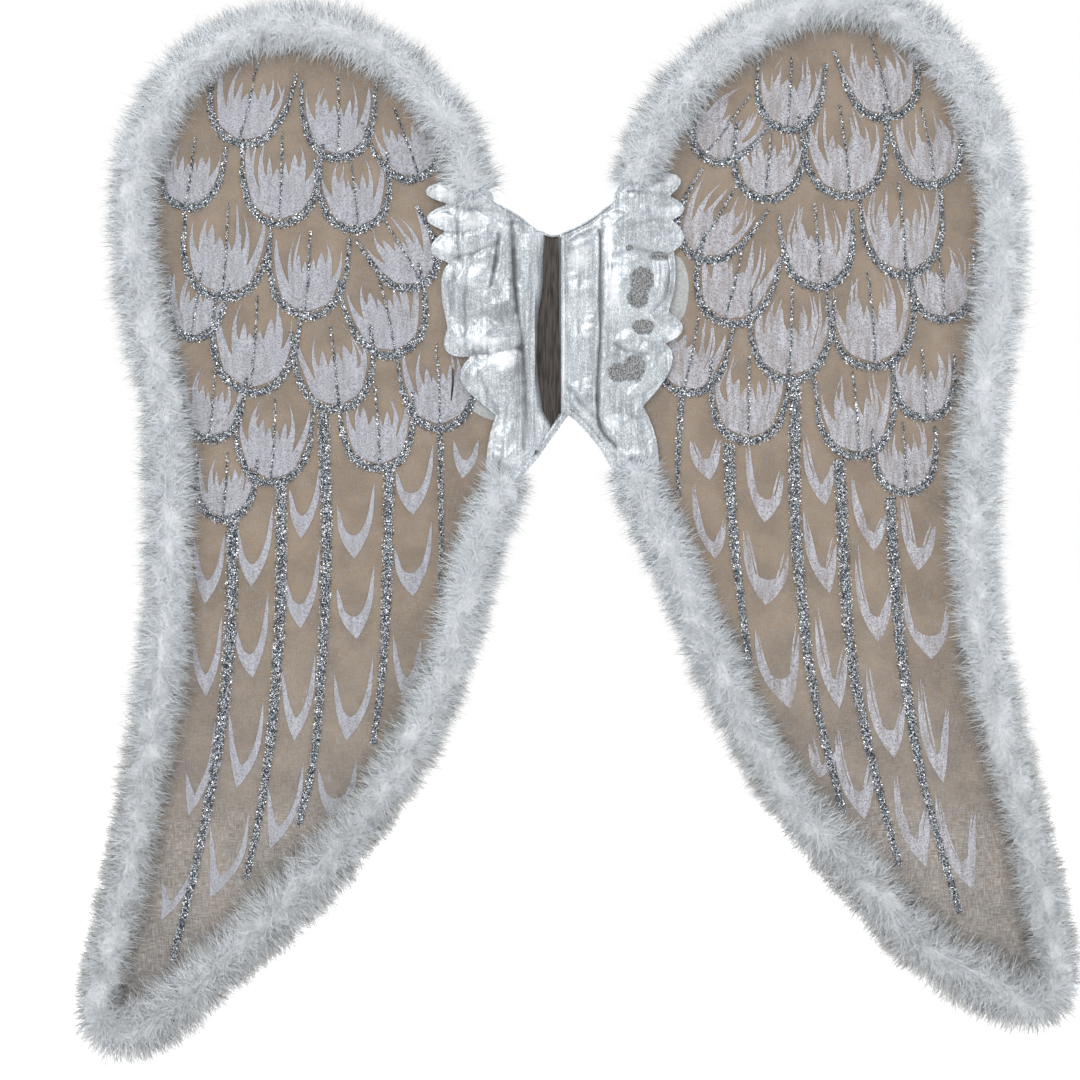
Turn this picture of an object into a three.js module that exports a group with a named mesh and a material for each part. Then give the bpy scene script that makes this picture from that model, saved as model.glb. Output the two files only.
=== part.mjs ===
// Fairy wings worn on the back: two sheer fabric wings on wire frames, edged with marabou and
// joined by a padded silver centre panel that carries two elastic shoulder loops.
// Millimetres, +Z up. The decorated faces look along -Y and the wearer stands on the +Y side.
// The origin is the middle of the centre strip's back face, which lies against the wearer.
import * as THREE from 'three';

// Layers, measured from the wearer's side towards -Y.
const BACKING_THICK = 1.0;
const SHEET_Y = -4.6;
const SHEET_THICK = 0.6;
const PADDING_BACK_Y = -7.2;
const PADDING_THICK = 2.4;
const COVER_BACK_Y = -9.9;
const COVER_THICK = 0.9;
const BINDING_THICK = 1.6;
const BINDING_GAP = 0.6;
const BINDING_START = 0.1;
const BINDING_STEPS = 6;
const GAP = 0.3;

// Edge of each wing, from the middle outwards.
const WIRE_R = 1.6;
const SHEET_INSET = 2.6;
const CASING_INNER_R = 2.2;
const CASING_OUTER_R = 3.4;
const TRIM_INNER_R = 4.1;
const TRIM_OUTER_R = 17.8;
const SLOT_HALF = 0.7;
const FERRULE_INNER_R = 1.95;
const FERRULE_OUTER_R = 2.3;
const FERRULE_LENGTH = 24;

// Centre strip between the two hinge lines.
const STRIP_HALF_WIDTH = 8;
const STRIP_THICK = 1.2;
const PANEL_INNER_X = 9.8;

// Elastic shoulder loops.
const STRAP_X = 44;
const STRAP_WIDTH = 20;
const STRAP_THICK = 1.5;
const PATCH_WIDTH = 26;
const PATCH_HEIGHT = 18;
const PATCH_THICK = 1.0;

const material = (color, roughness, metalness = 0) =>
  new THREE.MeshStandardMaterial({ color, roughness, metalness, side: THREE.DoubleSide });
const SHEER = material(0x9a8b7c, 0.9);
const STEEL = material(0x8d9094, 0.35, 1);
const ALUMINIUM = material(0xb9bcc0, 0.4, 1);
const TAPE = material(0xd8d8d6, 0.85);
const MARABOU = material(0xe6e9ec, 1);
const LAME = material(0xc9d1d6, 0.35, 0.6);
const WADDING = material(0xf0f0ee, 1);
const LINING = material(0xdcdfe2, 0.8);
const DARK_CLOTH = material(0x4e4945, 0.9);
const ELASTIC = material(0xeeeeec, 0.85);

const FORWARD = new THREE.Vector3(0, -1, 0);
const RIGHTWARD = new THREE.Vector3(1, 0, 0);

const group = new THREE.Group();

function add(name, geometry, mat) {
  const mesh = new THREE.Mesh(geometry, mat);
  mesh.name = name;
  group.add(mesh);
  return mesh;
}

// A flat piece cut to a shape drawn in X and Z, from backY towards -Y.
function slab(shape, backY, thickness) {
  const options = { depth: thickness, bevelEnabled: false, curveSegments: 6 };
  const geometry = new THREE.ExtrudeGeometry(shape, options);
  geometry.rotateX(Math.PI / 2);
  geometry.translate(0, backY, 0);
  return geometry;
}

// Sweeps a closed section along a planar path. A section point [n, s] lies n along the path's
// in-plane normal, tangent x side, and s along side, the unit vector that the plane faces.
function sweep(section, path, side) {
  const positions = [];
  const corners = [];
  const count = section.length;
  for (const { point, tangent } of path) {
    const normal = new THREE.Vector3().crossVectors(tangent, side);
    for (const [n, s] of section) {
      corners.push(point.clone().addScaledVector(normal, n).addScaledVector(side, s));
    }
  }
  const triangle = (a, b, c) => {
    for (const i of [a, b, c]) positions.push(...corners[i].toArray());
  };
  const last = (path.length - 1) * count;
  for (let base = 0; base < last; base += count) {
    for (let j = 0; j < count; j++) {
      const k = (j + 1) % count;
      triangle(base + j, base + count + j, base + count + k);
      triangle(base + j, base + count + k, base + k);
    }
  }
  const contour = section.map(([n, s]) => new THREE.Vector2(n, s));
  for (const [a, b, c] of THREE.ShapeUtils.triangulateShape(contour, [])) {
    triangle(a, b, c);
    triangle(last + a, last + c, last + b);
  }
  const geometry = new THREE.BufferGeometry();
  geometry.setAttribute('position', new THREE.Float32BufferAttribute(positions, 3));
  geometry.computeVertexNormals();
  return geometry;
}

// Places along a smooth curve through points, with steps places for each stretch between them.
function stations(points, steps) {
  const curve = new THREE.CatmullRomCurve3(points, false, 'centripetal');
  const count = (points.length - 1) * steps;
  return Array.from({ length: count + 1 }, (_, i) => ({
    point: curve.getPoint(i / count),
    tangent: curve.getTangent(i / count),
  }));
}

// A regular polygon section, corner points counter-clockwise.
const roundSection = (radius, sides) => Array.from({ length: sides }, (_, i) => {
  const angle = (2 * Math.PI * i) / sides;
  return [radius * Math.cos(angle), radius * Math.sin(angle)];
});

const flatSection = (thick, wide) =>
  [[-thick / 2, -wide / 2], [thick / 2, -wide / 2], [thick / 2, wide / 2], [-thick / 2, wide / 2]];

// A thick ring with a slot on its inner side, where the wing fabric enters.
function slottedRing(inner, outer, innerSides, outerSides) {
  const arc = (radius, sides) => {
    const end = Math.PI - Math.asin(SLOT_HALF / radius);
    return Array.from({ length: sides + 1 }, (_, i) => {
      const angle = -end + (2 * end * i) / sides;
      return [radius * Math.cos(angle), radius * Math.sin(angle)];
    });
  };
  return [...arc(outer, outerSides), ...arc(inner, innerSides).reverse()];
}

// Points along the round tip of a wing, between two angles in degrees.
const TIP_RADIUS = 22;
const tip = (x, z, from, to) => [0, 0.25, 0.5, 0.75, 1].map((part) => {
  const angle = THREE.MathUtils.degToRad(THREE.MathUtils.lerp(from, to, part));
  return [x + TIP_RADIUS * Math.cos(angle), z + TIP_RADIUS * Math.sin(angle)];
});

// The frame wire's line round each wing, counter-clockwise seen from the decorated side. It starts
// and ends inside the centre panel, where the ferrule joins the wire's ends.
const LEFT_WING = {
  panelUp: [[-15, 1], [-15, 42], [-22, 66], [-36, 82], [-53, 97]],
  edge: [[-62, 117], [-71, 144], [-94, 177], [-129, 206], [-172, 221], [-217, 220], [-260, 199],
    [-291, 160], [-308, 112], [-309, 60], [-301, 5], [-286, -60], [-283, -130], [-284, -205],
    [-292, -285], [-305, -360], [-319, -432], ...tip(-313, -506, 168, 310), [-237, -470],
    [-160, -396], [-109, -326], [-71, -240], [-54, -170], [-35, -124]],
  panelBack: [[-25, -98], [-17, -66], [-15, -34], [-15, -1]],
};
const RIGHT_WING = {
  panelUp: [[15, -1], [17, -34], [28, -58], [48, -76], [61, -100]],
  edge: [[69, -122], [95, -178], [113, -222], [151, -304], [187, -361], [231, -408], [275, -458],
    ...tip(359, -484, -121, 12), [372, -440], [357, -372], [338, -300], [323, -222],
    [318, -160], [320, -100], [328, -38], [337, 30], [339, 85], [331, 132], [315, 172],
    [293, 206], [264, 229], [235, 241], [203, 241], [168, 228], [137, 209], [109, 184],
    [84, 151], [72, 126]],
  panelBack: [[62, 100], [44, 78], [25, 62], [16, 38], [15, 1]],
};
const STEPS = 2;

const onSheet = ([x, z]) => new THREE.Vector3(x, SHEET_Y, z);

function frameLines({ panelUp, edge, panelBack }) {
  const whole = stations([...panelUp, ...edge, ...panelBack].map(onSheet), STEPS);
  const first = panelUp.length * STEPS;
  const end = first + (edge.length - 1) * STEPS + 1;
  return { whole, edge: whole.slice(first, end) };
}

function wingSheet(line) {
  const shape = new THREE.Shape(line.map(({ point, tangent }) => {
    const normal = new THREE.Vector3().crossVectors(tangent, FORWARD);
    return new THREE.Vector2(point.x - normal.x * SHEET_INSET, point.z - normal.z * SHEET_INSET);
  }));
  return slab(shape, SHEET_Y + SHEET_THICK / 2, SHEET_THICK);
}

function ferrule(x) {
  const profile = [[FERRULE_INNER_R, 0], [FERRULE_OUTER_R, 0], [FERRULE_OUTER_R, FERRULE_LENGTH],
    [FERRULE_INNER_R, FERRULE_LENGTH], [FERRULE_INNER_R, 0]].map(([r, h]) => new THREE.Vector2(r, h));
  const geometry = new THREE.LatheGeometry(profile, 10);
  geometry.rotateX(Math.PI / 2);
  geometry.translate(x, SHEET_Y, -FERRULE_LENGTH / 2);
  return geometry;
}

// An outline of plain corners [x, z] and of curves [[x, z] passed half way, [x, z] reached].
function outline(steps) {
  const shape = new THREE.Shape();
  let from = steps[0];
  shape.moveTo(...from);
  for (const step of steps.slice(1)) {
    if (typeof step[0] === 'number') {
      shape.lineTo(...step);
      from = step;
    } else {
      const [through, to] = step;
      const control = [0, 1].map((i) => 2 * through[i] - (from[i] + to[i]) / 2);
      shape.quadraticCurveTo(...control, ...to);
      from = to;
    }
  }
  return shape;
}

// Half panels: short scallops beside the wing, one long scallop, and a tail along the lower wire.
const LEFT_TOP = [[-PANEL_INNER_X, 71], [-24, 83], [-41, 91]];
const LEFT_BOTTOM = [[-24, -114], [-17, -105], [-PANEL_INNER_X, -96]];
const RIGHT_TOP = [[PANEL_INNER_X, 67], [29, 76], [50, 92]];
const RIGHT_BOTTOM = [[52, -110], [37, -85], [14, -64]];
const RIGHT_INNER_END = [PANEL_INNER_X, -68];
const curveTo = ([, through, to]) => [through, to];
const LEFT_PANEL = outline([
  LEFT_TOP[0], curveTo(LEFT_TOP), [[-48, 104], [-72, 109]],
  [[-92, 100], [-75, 90]], [[-91, 80], [-77, 70]], [[-88, 56], [-74, 46]],
  [[-80, 30], [-75, -2]], [[-76, -20], [-58, -24]], [[-66, -38], [-58, -52]], [-39, -68],
  [[-45, -90], [-46, -114]], LEFT_BOTTOM[0], curveTo(LEFT_BOTTOM),
]);
const RIGHT_PANEL = outline([
  RIGHT_TOP[0], curveTo(RIGHT_TOP), [[58, 107], [82, 115]],
  [[99, 109], [91, 96]], [[102, 87], [93, 78]], [[102, 66], [94, 55]],
  [[95, 32], [90, 10]], [[101, -3], [88, -14]], [[92, -32], [71, -61]],
  [[81, -86], [82, -111]], RIGHT_BOTTOM[0], curveTo(RIGHT_BOTTOM), RIGHT_INNER_END,
]);
const LEFT_PADDING = outline([
  [-14, 60], [[-28, 77], [-50, 84]], [[-68, 70], [-68, 40]], [-66, -12], [-46, -30], [-36, -66],
  [-22, -78], [-14, -70],
]);
const RIGHT_PADDING = outline([
  [14, 58], [[32, 72], [58, 90]], [[84, 78], [84, 50]], [80, -4], [80, -30], [62, -58],
  [48, -74], [14, -54],
]);

// A bound edge closes the layers where the panel has no scallops. The curve is the panel's own edge:
// where it starts, what it passes half way and where it ends.
function binding([from, through, to], up) {
  const [start, middle, end] = [from, through, to].map(([x, z]) => new THREE.Vector2(x, z));
  const control = middle.clone().multiplyScalar(2);
  control.addScaledVector(start, -0.5).addScaledVector(end, -0.5);
  const curve = new THREE.QuadraticBezierCurve(start, control, end);
  const offsetLine = (distance) => Array.from({ length: BINDING_STEPS + 1 }, (_, i) => {
    const t = THREE.MathUtils.lerp(BINDING_START, 1 - BINDING_START, i / BINDING_STEPS);
    const tangent = curve.getTangent(t);
    const flip = Math.sign(tangent.x) * up;
    const normal = new THREE.Vector2(-tangent.y, tangent.x);
    return curve.getPoint(t).addScaledVector(normal, flip * distance);
  });
  const inner = offsetLine(BINDING_GAP);
  const outer = offsetLine(BINDING_GAP + BINDING_THICK);
  return slab(new THREE.Shape([...inner, ...outer.reverse()]), 0, COVER_THICK - COVER_BACK_Y);
}

// Shoulder loop and its sewn ends, as [y, z] in the plane of the loop.
const STRAP_SEWN_Y = 1.3;
const STRAP_TOP_END = [[STRAP_SEWN_Y, 41], [STRAP_SEWN_Y, 57], [2.6, 64], [8, 71.5], [17, 75]];
const STRAP_LOOP = [[20.5, 75.8], [48, 74], [73, 56], [86, 24], [88, -8], [78, -44], [52, -66], [21, -63]];
const STRAP_BOTTOM_END = [[17.5, -61], [8, -57], [2.6, -50], [STRAP_SEWN_Y, -43], [STRAP_SEWN_Y, -27]];
const PATCH_TOP_Z = 50;
const PATCH_BOTTOM_Z = -35;

function strap(x, points) {
  const path = stations(points.map(([y, z]) => new THREE.Vector3(x, y, z)), 3);
  return sweep(flatSection(STRAP_THICK, STRAP_WIDTH), path, RIGHTWARD);
}

function patch(x, z) {
  const geometry = new THREE.BoxGeometry(PATCH_WIDTH, PATCH_THICK, PATCH_HEIGHT);
  geometry.translate(x, STRAP_SEWN_Y + STRAP_THICK / 2 + GAP + PATCH_THICK / 2, z);
  return geometry;
}

function wing(side, line, panel, padding, topEdge, bottomEdge, strapX) {
  const { whole, edge } = frameLines(line);
  add(`${side}_wing_fabric`, wingSheet(whole), SHEER);
  add(`${side}_wire_frame`, sweep(roundSection(WIRE_R, 6), whole, FORWARD), STEEL);
  add(`${side}_wire_ferrule`, ferrule(whole[0].point.x), ALUMINIUM);
  const casingSection = slottedRing(CASING_INNER_R, CASING_OUTER_R, 6, 8);
  const trimSection = slottedRing(TRIM_INNER_R, TRIM_OUTER_R, 8, 14);
  add(`${side}_edge_casing`, sweep(casingSection, edge, FORWARD), TAPE);
  add(`${side}_marabou_trim`, sweep(trimSection, edge, FORWARD), MARABOU);
  add(`${side}_feather_cover`, slab(panel, COVER_BACK_Y, COVER_THICK), LAME);
  add(`${side}_panel_padding`, slab(padding, PADDING_BACK_Y, PADDING_THICK), WADDING);
  add(`${side}_panel_backing`, slab(panel, 0, BACKING_THICK), LINING);
  add(`${side}_top_binding`, binding(topEdge, 1), LAME);
  add(`${side}_bottom_binding`, binding(bottomEdge, -1), LAME);
  add(`${side}_shoulder_strap`, strap(strapX, STRAP_LOOP), ELASTIC);
  add(`${side}_strap_end_top`, strap(strapX, STRAP_TOP_END), ELASTIC);
  add(`${side}_strap_end_bottom`, strap(strapX, STRAP_BOTTOM_END), ELASTIC);
  add(`${side}_strap_patch_top`, patch(strapX, PATCH_TOP_Z), TAPE);
  add(`${side}_strap_patch_bottom`, patch(strapX, PATCH_BOTTOM_Z), TAPE);
}

wing('left', LEFT_WING, LEFT_PANEL, LEFT_PADDING, LEFT_TOP, LEFT_BOTTOM, -STRAP_X);
wing('right', RIGHT_WING, RIGHT_PANEL, RIGHT_PADDING, RIGHT_TOP, RIGHT_BOTTOM, STRAP_X);

// Centre strip with its bound ends, which slant down to the left below.
add('centre_strip', slab(outline([
  [-STRIP_HALF_WIDTH, 66], [STRIP_HALF_WIDTH, 63], [STRIP_HALF_WIDTH, -68], [-STRIP_HALF_WIDTH, -86],
]), 0, STRIP_THICK), DARK_CLOTH);
add('strip_top_binding', slab(outline([
  [-STRIP_HALF_WIDTH, 69.3], [STRIP_HALF_WIDTH, 66.3],
  [STRIP_HALF_WIDTH, 63.3], [-STRIP_HALF_WIDTH, 66.3],
]), 0, STRIP_THICK), LAME);
add('strip_bottom_binding', slab(outline([
  [-STRIP_HALF_WIDTH, -91.3], [STRIP_HALF_WIDTH, -73.3],
  [STRIP_HALF_WIDTH, -68.3], [-STRIP_HALF_WIDTH, -86.3],
]), 0, STRIP_THICK), LAME);

export default group;
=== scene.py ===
"""Fairy wings: the looks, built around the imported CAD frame.

Lengths in this script are millimetres, turned into metres where a mesh is made, except for the stage at
the end and the scales of the materials. X runs to the viewer's right, Z up, and the decorated faces look
along -Y.
"""
import math

import bpy
import numpy as np
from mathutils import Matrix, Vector, geometry


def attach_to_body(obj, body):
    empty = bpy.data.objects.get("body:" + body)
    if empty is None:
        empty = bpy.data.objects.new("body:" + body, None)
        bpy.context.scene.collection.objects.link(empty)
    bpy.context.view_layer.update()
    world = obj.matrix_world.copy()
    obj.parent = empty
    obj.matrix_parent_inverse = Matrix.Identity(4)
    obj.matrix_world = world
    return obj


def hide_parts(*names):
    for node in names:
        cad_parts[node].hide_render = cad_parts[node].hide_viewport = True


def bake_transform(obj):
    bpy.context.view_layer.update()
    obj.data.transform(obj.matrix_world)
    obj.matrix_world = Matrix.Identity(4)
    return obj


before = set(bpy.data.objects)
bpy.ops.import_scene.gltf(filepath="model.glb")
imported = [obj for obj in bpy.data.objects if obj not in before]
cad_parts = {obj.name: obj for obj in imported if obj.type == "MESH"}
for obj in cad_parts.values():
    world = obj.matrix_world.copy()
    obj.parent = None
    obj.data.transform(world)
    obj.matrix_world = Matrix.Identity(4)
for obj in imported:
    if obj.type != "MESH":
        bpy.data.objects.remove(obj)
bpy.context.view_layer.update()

MM = 0.001
SIDES = ("left", "right")
SIGN = {"left": -1, "right": 1}
FABRIC_Y = -4.6
FABRIC_TO_WIRE = 2.6
PRINT_LIFT = 0.45
GLITTER_LIFT = 0.75
GLITTER_STEP = 1.5
FLAKES_PER_MM2 = 4.4
# How far the marabou runs on past the two ends of the CAD trim.
DOWN_OVERLAP = {"left": (22.0, 15.5), "right": (16.0, 25.0)}
TRIM_STEP = 3.0
TRIM_PARTS = 5
# Barbs in a tuft, and barbs for each millimetre of the trim.
TUFT = 11
BARBS_PER_MM = 100
# How far the marabou stands in front of the fabric before its barbs are pressed back.
DOWN_DEPTH = 20.0


# ---------------------------------------------------------------- plane geometry

def boundary(node):
    """The outline [x, z] of a flat CAD piece, in order round its back face, in millimetres."""
    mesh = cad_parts[node].data
    points = np.array([v.co for v in mesh.vertices]) / MM
    back_y = points[:, 1].max()
    keys = [tuple(np.round(p, 3)) for p in points]
    ahead = {}
    for triangle in mesh.polygons:
        corners = [keys[i] for i in triangle.vertices]
        if all(abs(c[1] - back_y) < 0.01 for c in corners):
            for a, b in zip(corners, corners[1:] + corners[:1]):
                ahead.setdefault(a, set()).add(b)
    rim = {a: b for a, ends in ahead.items() for b in ends if a not in ahead.get(b, ())}
    start = next(iter(rim))
    loop = [start]
    while rim[loop[-1]] != start:
        loop.append(rim[loop[-1]])
    loop = np.array(loop)[:, [0, 2]]
    return loop if signed_area(loop) > 0 else loop[::-1]


def signed_area(loop):
    """The outline's area, above zero when it runs anticlockwise."""
    x, z = loop.T
    return 0.5 * np.sum(x * np.roll(z, -1) - np.roll(x, -1) * z)


def smooth_line(points, steps, closed=False):
    """A centripetal Catmull-Rom line through the points, with steps places for each stretch."""
    points = np.asarray(points, float)
    if closed:
        padded = np.vstack([points[-1], points, points[:2]])
    else:
        padded = np.vstack([2 * points[0] - points[1], points, 2 * points[-1] - points[-2]])
    out = []
    for p0, p1, p2, p3 in zip(padded, padded[1:], padded[2:], padded[3:]):
        t1 = math.sqrt(np.linalg.norm(p1 - p0)) or 1e-3
        t2 = t1 + (math.sqrt(np.linalg.norm(p2 - p1)) or 1e-3)
        t3 = t2 + (math.sqrt(np.linalg.norm(p3 - p2)) or 1e-3)
        t = (t1 + (t2 - t1) * np.arange(steps) / steps)[:, None]
        a1 = (t1 - t) / t1 * p0 + t / t1 * p1
        a2 = (t2 - t) / (t2 - t1) * p1 + (t - t1) / (t2 - t1) * p2
        a3 = (t3 - t) / (t3 - t2) * p2 + (t - t2) / (t3 - t2) * p3
        b1 = (t2 - t) / t2 * a1 + t / t2 * a2
        b2 = (t3 - t) / (t3 - t1) * a2 + (t - t1) / (t3 - t1) * a3
        out.append((t2 - t) / (t2 - t1) * b1 + (t - t1) / (t2 - t1) * b2)
    line = np.vstack(out)
    return line if closed else np.vstack([line, points[-1]])


def run_along(line):
    """How far along the line each of its places is."""
    return np.concatenate([[0], np.cumsum(np.linalg.norm(np.diff(line, axis=0), axis=1))])


def even(line, pitch):
    """The line again, with places about pitch apart."""
    run = run_along(line)
    count = max(2, int(round(run[-1] / pitch)) + 1)
    at = np.linspace(0, run[-1], count)
    return np.stack([np.interp(at, run, line[:, i]) for i in range(line.shape[1])], axis=1)


def unit(vectors):
    """Each row at a length of 1."""
    return vectors / np.maximum(np.linalg.norm(vectors, axis=1, keepdims=True), 1e-9)


def outward(line):
    """Unit normals to the right of the line's direction: outward on an anticlockwise outline."""
    along = unit(np.gradient(line, axis=0))
    return np.stack([along[:, 1], -along[:, 0]], axis=1)


def distance(points, line, closed=True):
    """How far each point [x, z] is from the line."""
    a = line
    b = np.roll(line, -1, axis=0)
    if not closed:
        a, b = line[:-1], line[1:]
    ab = b - a
    best = np.full(len(points), 1e9)
    for i in range(0, len(points), 4000):
        rel = points[i:i + 4000, None] - a
        t = np.clip((rel * ab).sum(2) / np.maximum((ab * ab).sum(1), 1e-9), 0, 1)
        best[i:i + 4000] = np.linalg.norm(rel - t[..., None] * ab, axis=2).min(1)
    return best


def inside(points, loop):
    """Which points [x, z] lie inside the outline."""
    x, z = points.T
    hit = np.zeros(len(points), bool)
    for (ax, az), (bx, bz) in zip(loop, np.roll(loop, -1, axis=0)):
        if az != bz:
            crosses = (az > z) != (bz > z)
            hit ^= crosses & (x < (bx - ax) * (z - az) / (bz - az) + ax)
    return hit


def fill(loop, pitch):
    """Triangles over the outline, with a staggered grid of points inside it: (points, triangles)."""
    low, high = loop.min(0), loop.max(0)
    rows = np.arange(low[1], high[1], pitch * 0.87)
    grid = [[x, z] for i, z in enumerate(rows)
            for x in np.arange(low[0] + (i % 2) * pitch / 2, high[0], pitch)]
    grid = np.array(grid).reshape(-1, 2)
    grid = grid[inside(grid, loop)]
    grid = grid[distance(grid, loop) > 0.45 * pitch]
    points = [Vector(p) for p in np.vstack([loop, grid])]
    done = geometry.delaunay_2d_cdt(points, [], [list(range(len(loop)))], 1, 1e-4)
    return np.array([tuple(p) for p in done[0]]), [tuple(f) for f in done[2]]


def ramp(value, low, high):
    """0 at low, 1 at high, with a smooth rise between."""
    t = np.clip((value - low) / (high - low), 0, 1)
    return t * t * (3 - 2 * t)


def ripple(x, z, seed, waves, longest, shortest):
    """Smooth repeatable noise between about -1 and 1, as a sum of plane waves."""
    rng = np.random.default_rng(seed)
    total = np.zeros_like(x, float)
    for _ in range(waves):
        turn, phase = rng.uniform(0, 2 * math.pi, 2)
        length = math.exp(rng.uniform(math.log(shortest), math.log(longest)))
        total += np.sin(2 * math.pi * (x * math.cos(turn) + z * math.sin(turn)) / length + phase)
    return total / math.sqrt(waves / 2) / 1.6


# ---------------------------------------------------------------- meshes

def empty_mesh(name, materials):
    """A mesh without points that has its materials already."""
    mesh = bpy.data.meshes.new(name)
    for material in materials:
        mesh.materials.append(material)
    return mesh


def placed(mesh):
    """The mesh as an object in the scene, under the mesh's name."""
    piece = bpy.data.objects.new(mesh.name, mesh)
    bpy.context.scene.collection.objects.link(piece)
    return piece


def new_mesh(name, points, faces, materials, smooth=True):
    """A mesh object from points in millimetres."""
    mesh = empty_mesh(name, materials)
    mesh.from_pydata(np.asarray(points, float) * MM, [], faces)
    if smooth:
        mesh.shade_smooth()
    mesh.update()
    return placed(mesh)


def upright(points, y):
    """Plane points [x, z] as [x, y, z]."""
    return np.stack([points[:, 0], np.broadcast_to(y, len(points)), points[:, 1]], axis=1)


def grid_faces(rows, columns, flip=False):
    """Four-sided faces over a grid of points listed row by row. flip turns them over."""
    faces = [(a, a + 1, a + columns + 1, a + columns)
             for row in range(rows - 1) for a in range(row * columns, (row + 1) * columns - 1)]
    return [(face[0], *face[:0:-1]) for face in faces] if flip else faces


def backward(faces):
    """The faces turned over, so that plane triangles look along -Y."""
    return [face[::-1] for face in faces]


def attach(piece, body, slot, *nodes):
    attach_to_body(piece, body)
    if nodes:
        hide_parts(*nodes)


def new_strips(name, rows, materials, slots, normals):
    """Many tapered strips in one mesh, each ending in a point: rows is [strip, place, two edges, xyz]."""
    count, places = rows.shape[:2]
    body = rows[:, :-1].reshape(count, -1, 3)
    tips = rows[:, -1].mean(axis=1, keepdims=True)
    points = np.concatenate([body, tips], axis=1)
    each = points.shape[1]
    base = np.arange(count)[:, None] * each
    quads = np.array([[2 * i, 2 * i + 1, 2 * i + 3, 2 * i + 2] for i in range(places - 2)])
    quads = (base[:, :, None] + quads[None]).reshape(-1, 4)
    ends = base + np.array([[each - 3, each - 2, each - 1]])
    loops = np.concatenate([quads.ravel(), ends.ravel()])
    starts = np.concatenate([np.arange(len(quads)) * 4, len(quads) * 4 + np.arange(count) * 3])
    mesh = empty_mesh(name, materials)
    mesh.vertices.add(count * each)
    mesh.vertices.foreach_set("co", (points * MM).astype(np.float32).ravel())
    mesh.loops.add(len(loops))
    mesh.loops.foreach_set("vertex_index", loops.astype(np.int32))
    mesh.polygons.add(len(starts))
    mesh.polygons.foreach_set("loop_start", starts.astype(np.int32))
    tip_slots = np.minimum(slots + 1, len(materials) - 1)
    all_slots = np.concatenate([np.repeat(slots, places - 2), tip_slots])
    mesh.polygons.foreach_set("material_index", all_slots.astype(np.int32))
    mesh.update(calc_edges=True)
    mesh.shade_smooth()
    mesh.normals_split_custom_set_from_vertices(np.repeat(normals, each, axis=0))
    return placed(mesh)


def apply_modifiers(piece):
    """Makes the modifiers' result the piece's own mesh."""
    depsgraph = bpy.context.evaluated_depsgraph_get()
    mesh = bpy.data.meshes.new_from_object(piece.evaluated_get(depsgraph))
    piece.modifiers.clear()
    piece.data = mesh


def thicken(piece, thick, offset=0.0):
    """Gives a sheet its thickness, in millimetres. Offset 0 grows it both ways, -1 and 1 one way."""
    solid = piece.modifiers.new("thickness", "SOLIDIFY")
    solid.thickness = thick * MM
    solid.offset = offset
    apply_modifiers(piece)


def tube(name, line, y, sections, material):
    """A tube along the plane line at depth y. sections is [place, count, 2]: each place's offsets along
    the line's normal and along -Y."""
    out = outward(line)
    rows, count = sections.shape[:2]
    offsets = np.stack([sections[..., 0] * out[:, None, 0], -sections[..., 1],
                        sections[..., 0] * out[:, None, 1]], axis=2)
    points = upright(line, y)[:, None] + offsets
    faces = [(a + k, a + count + k, a + count + (k + 1) % count, a + (k + 1) % count)
             for a in range(0, (rows - 1) * count, count) for k in range(count)]
    faces += [tuple(range(count)), tuple(reversed(range((rows - 1) * count, rows * count)))]
    return new_mesh(name, points.reshape(-1, 3), faces, [material])


# ---------------------------------------------------------------- materials

def set_range(node, *numbers):
    """Fills a map range node: from low and high, to low and high."""
    for socket, number in zip(("From Min", "From Max", "To Min", "To Max"), numbers):
        node.inputs[socket].default_value = number


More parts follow.
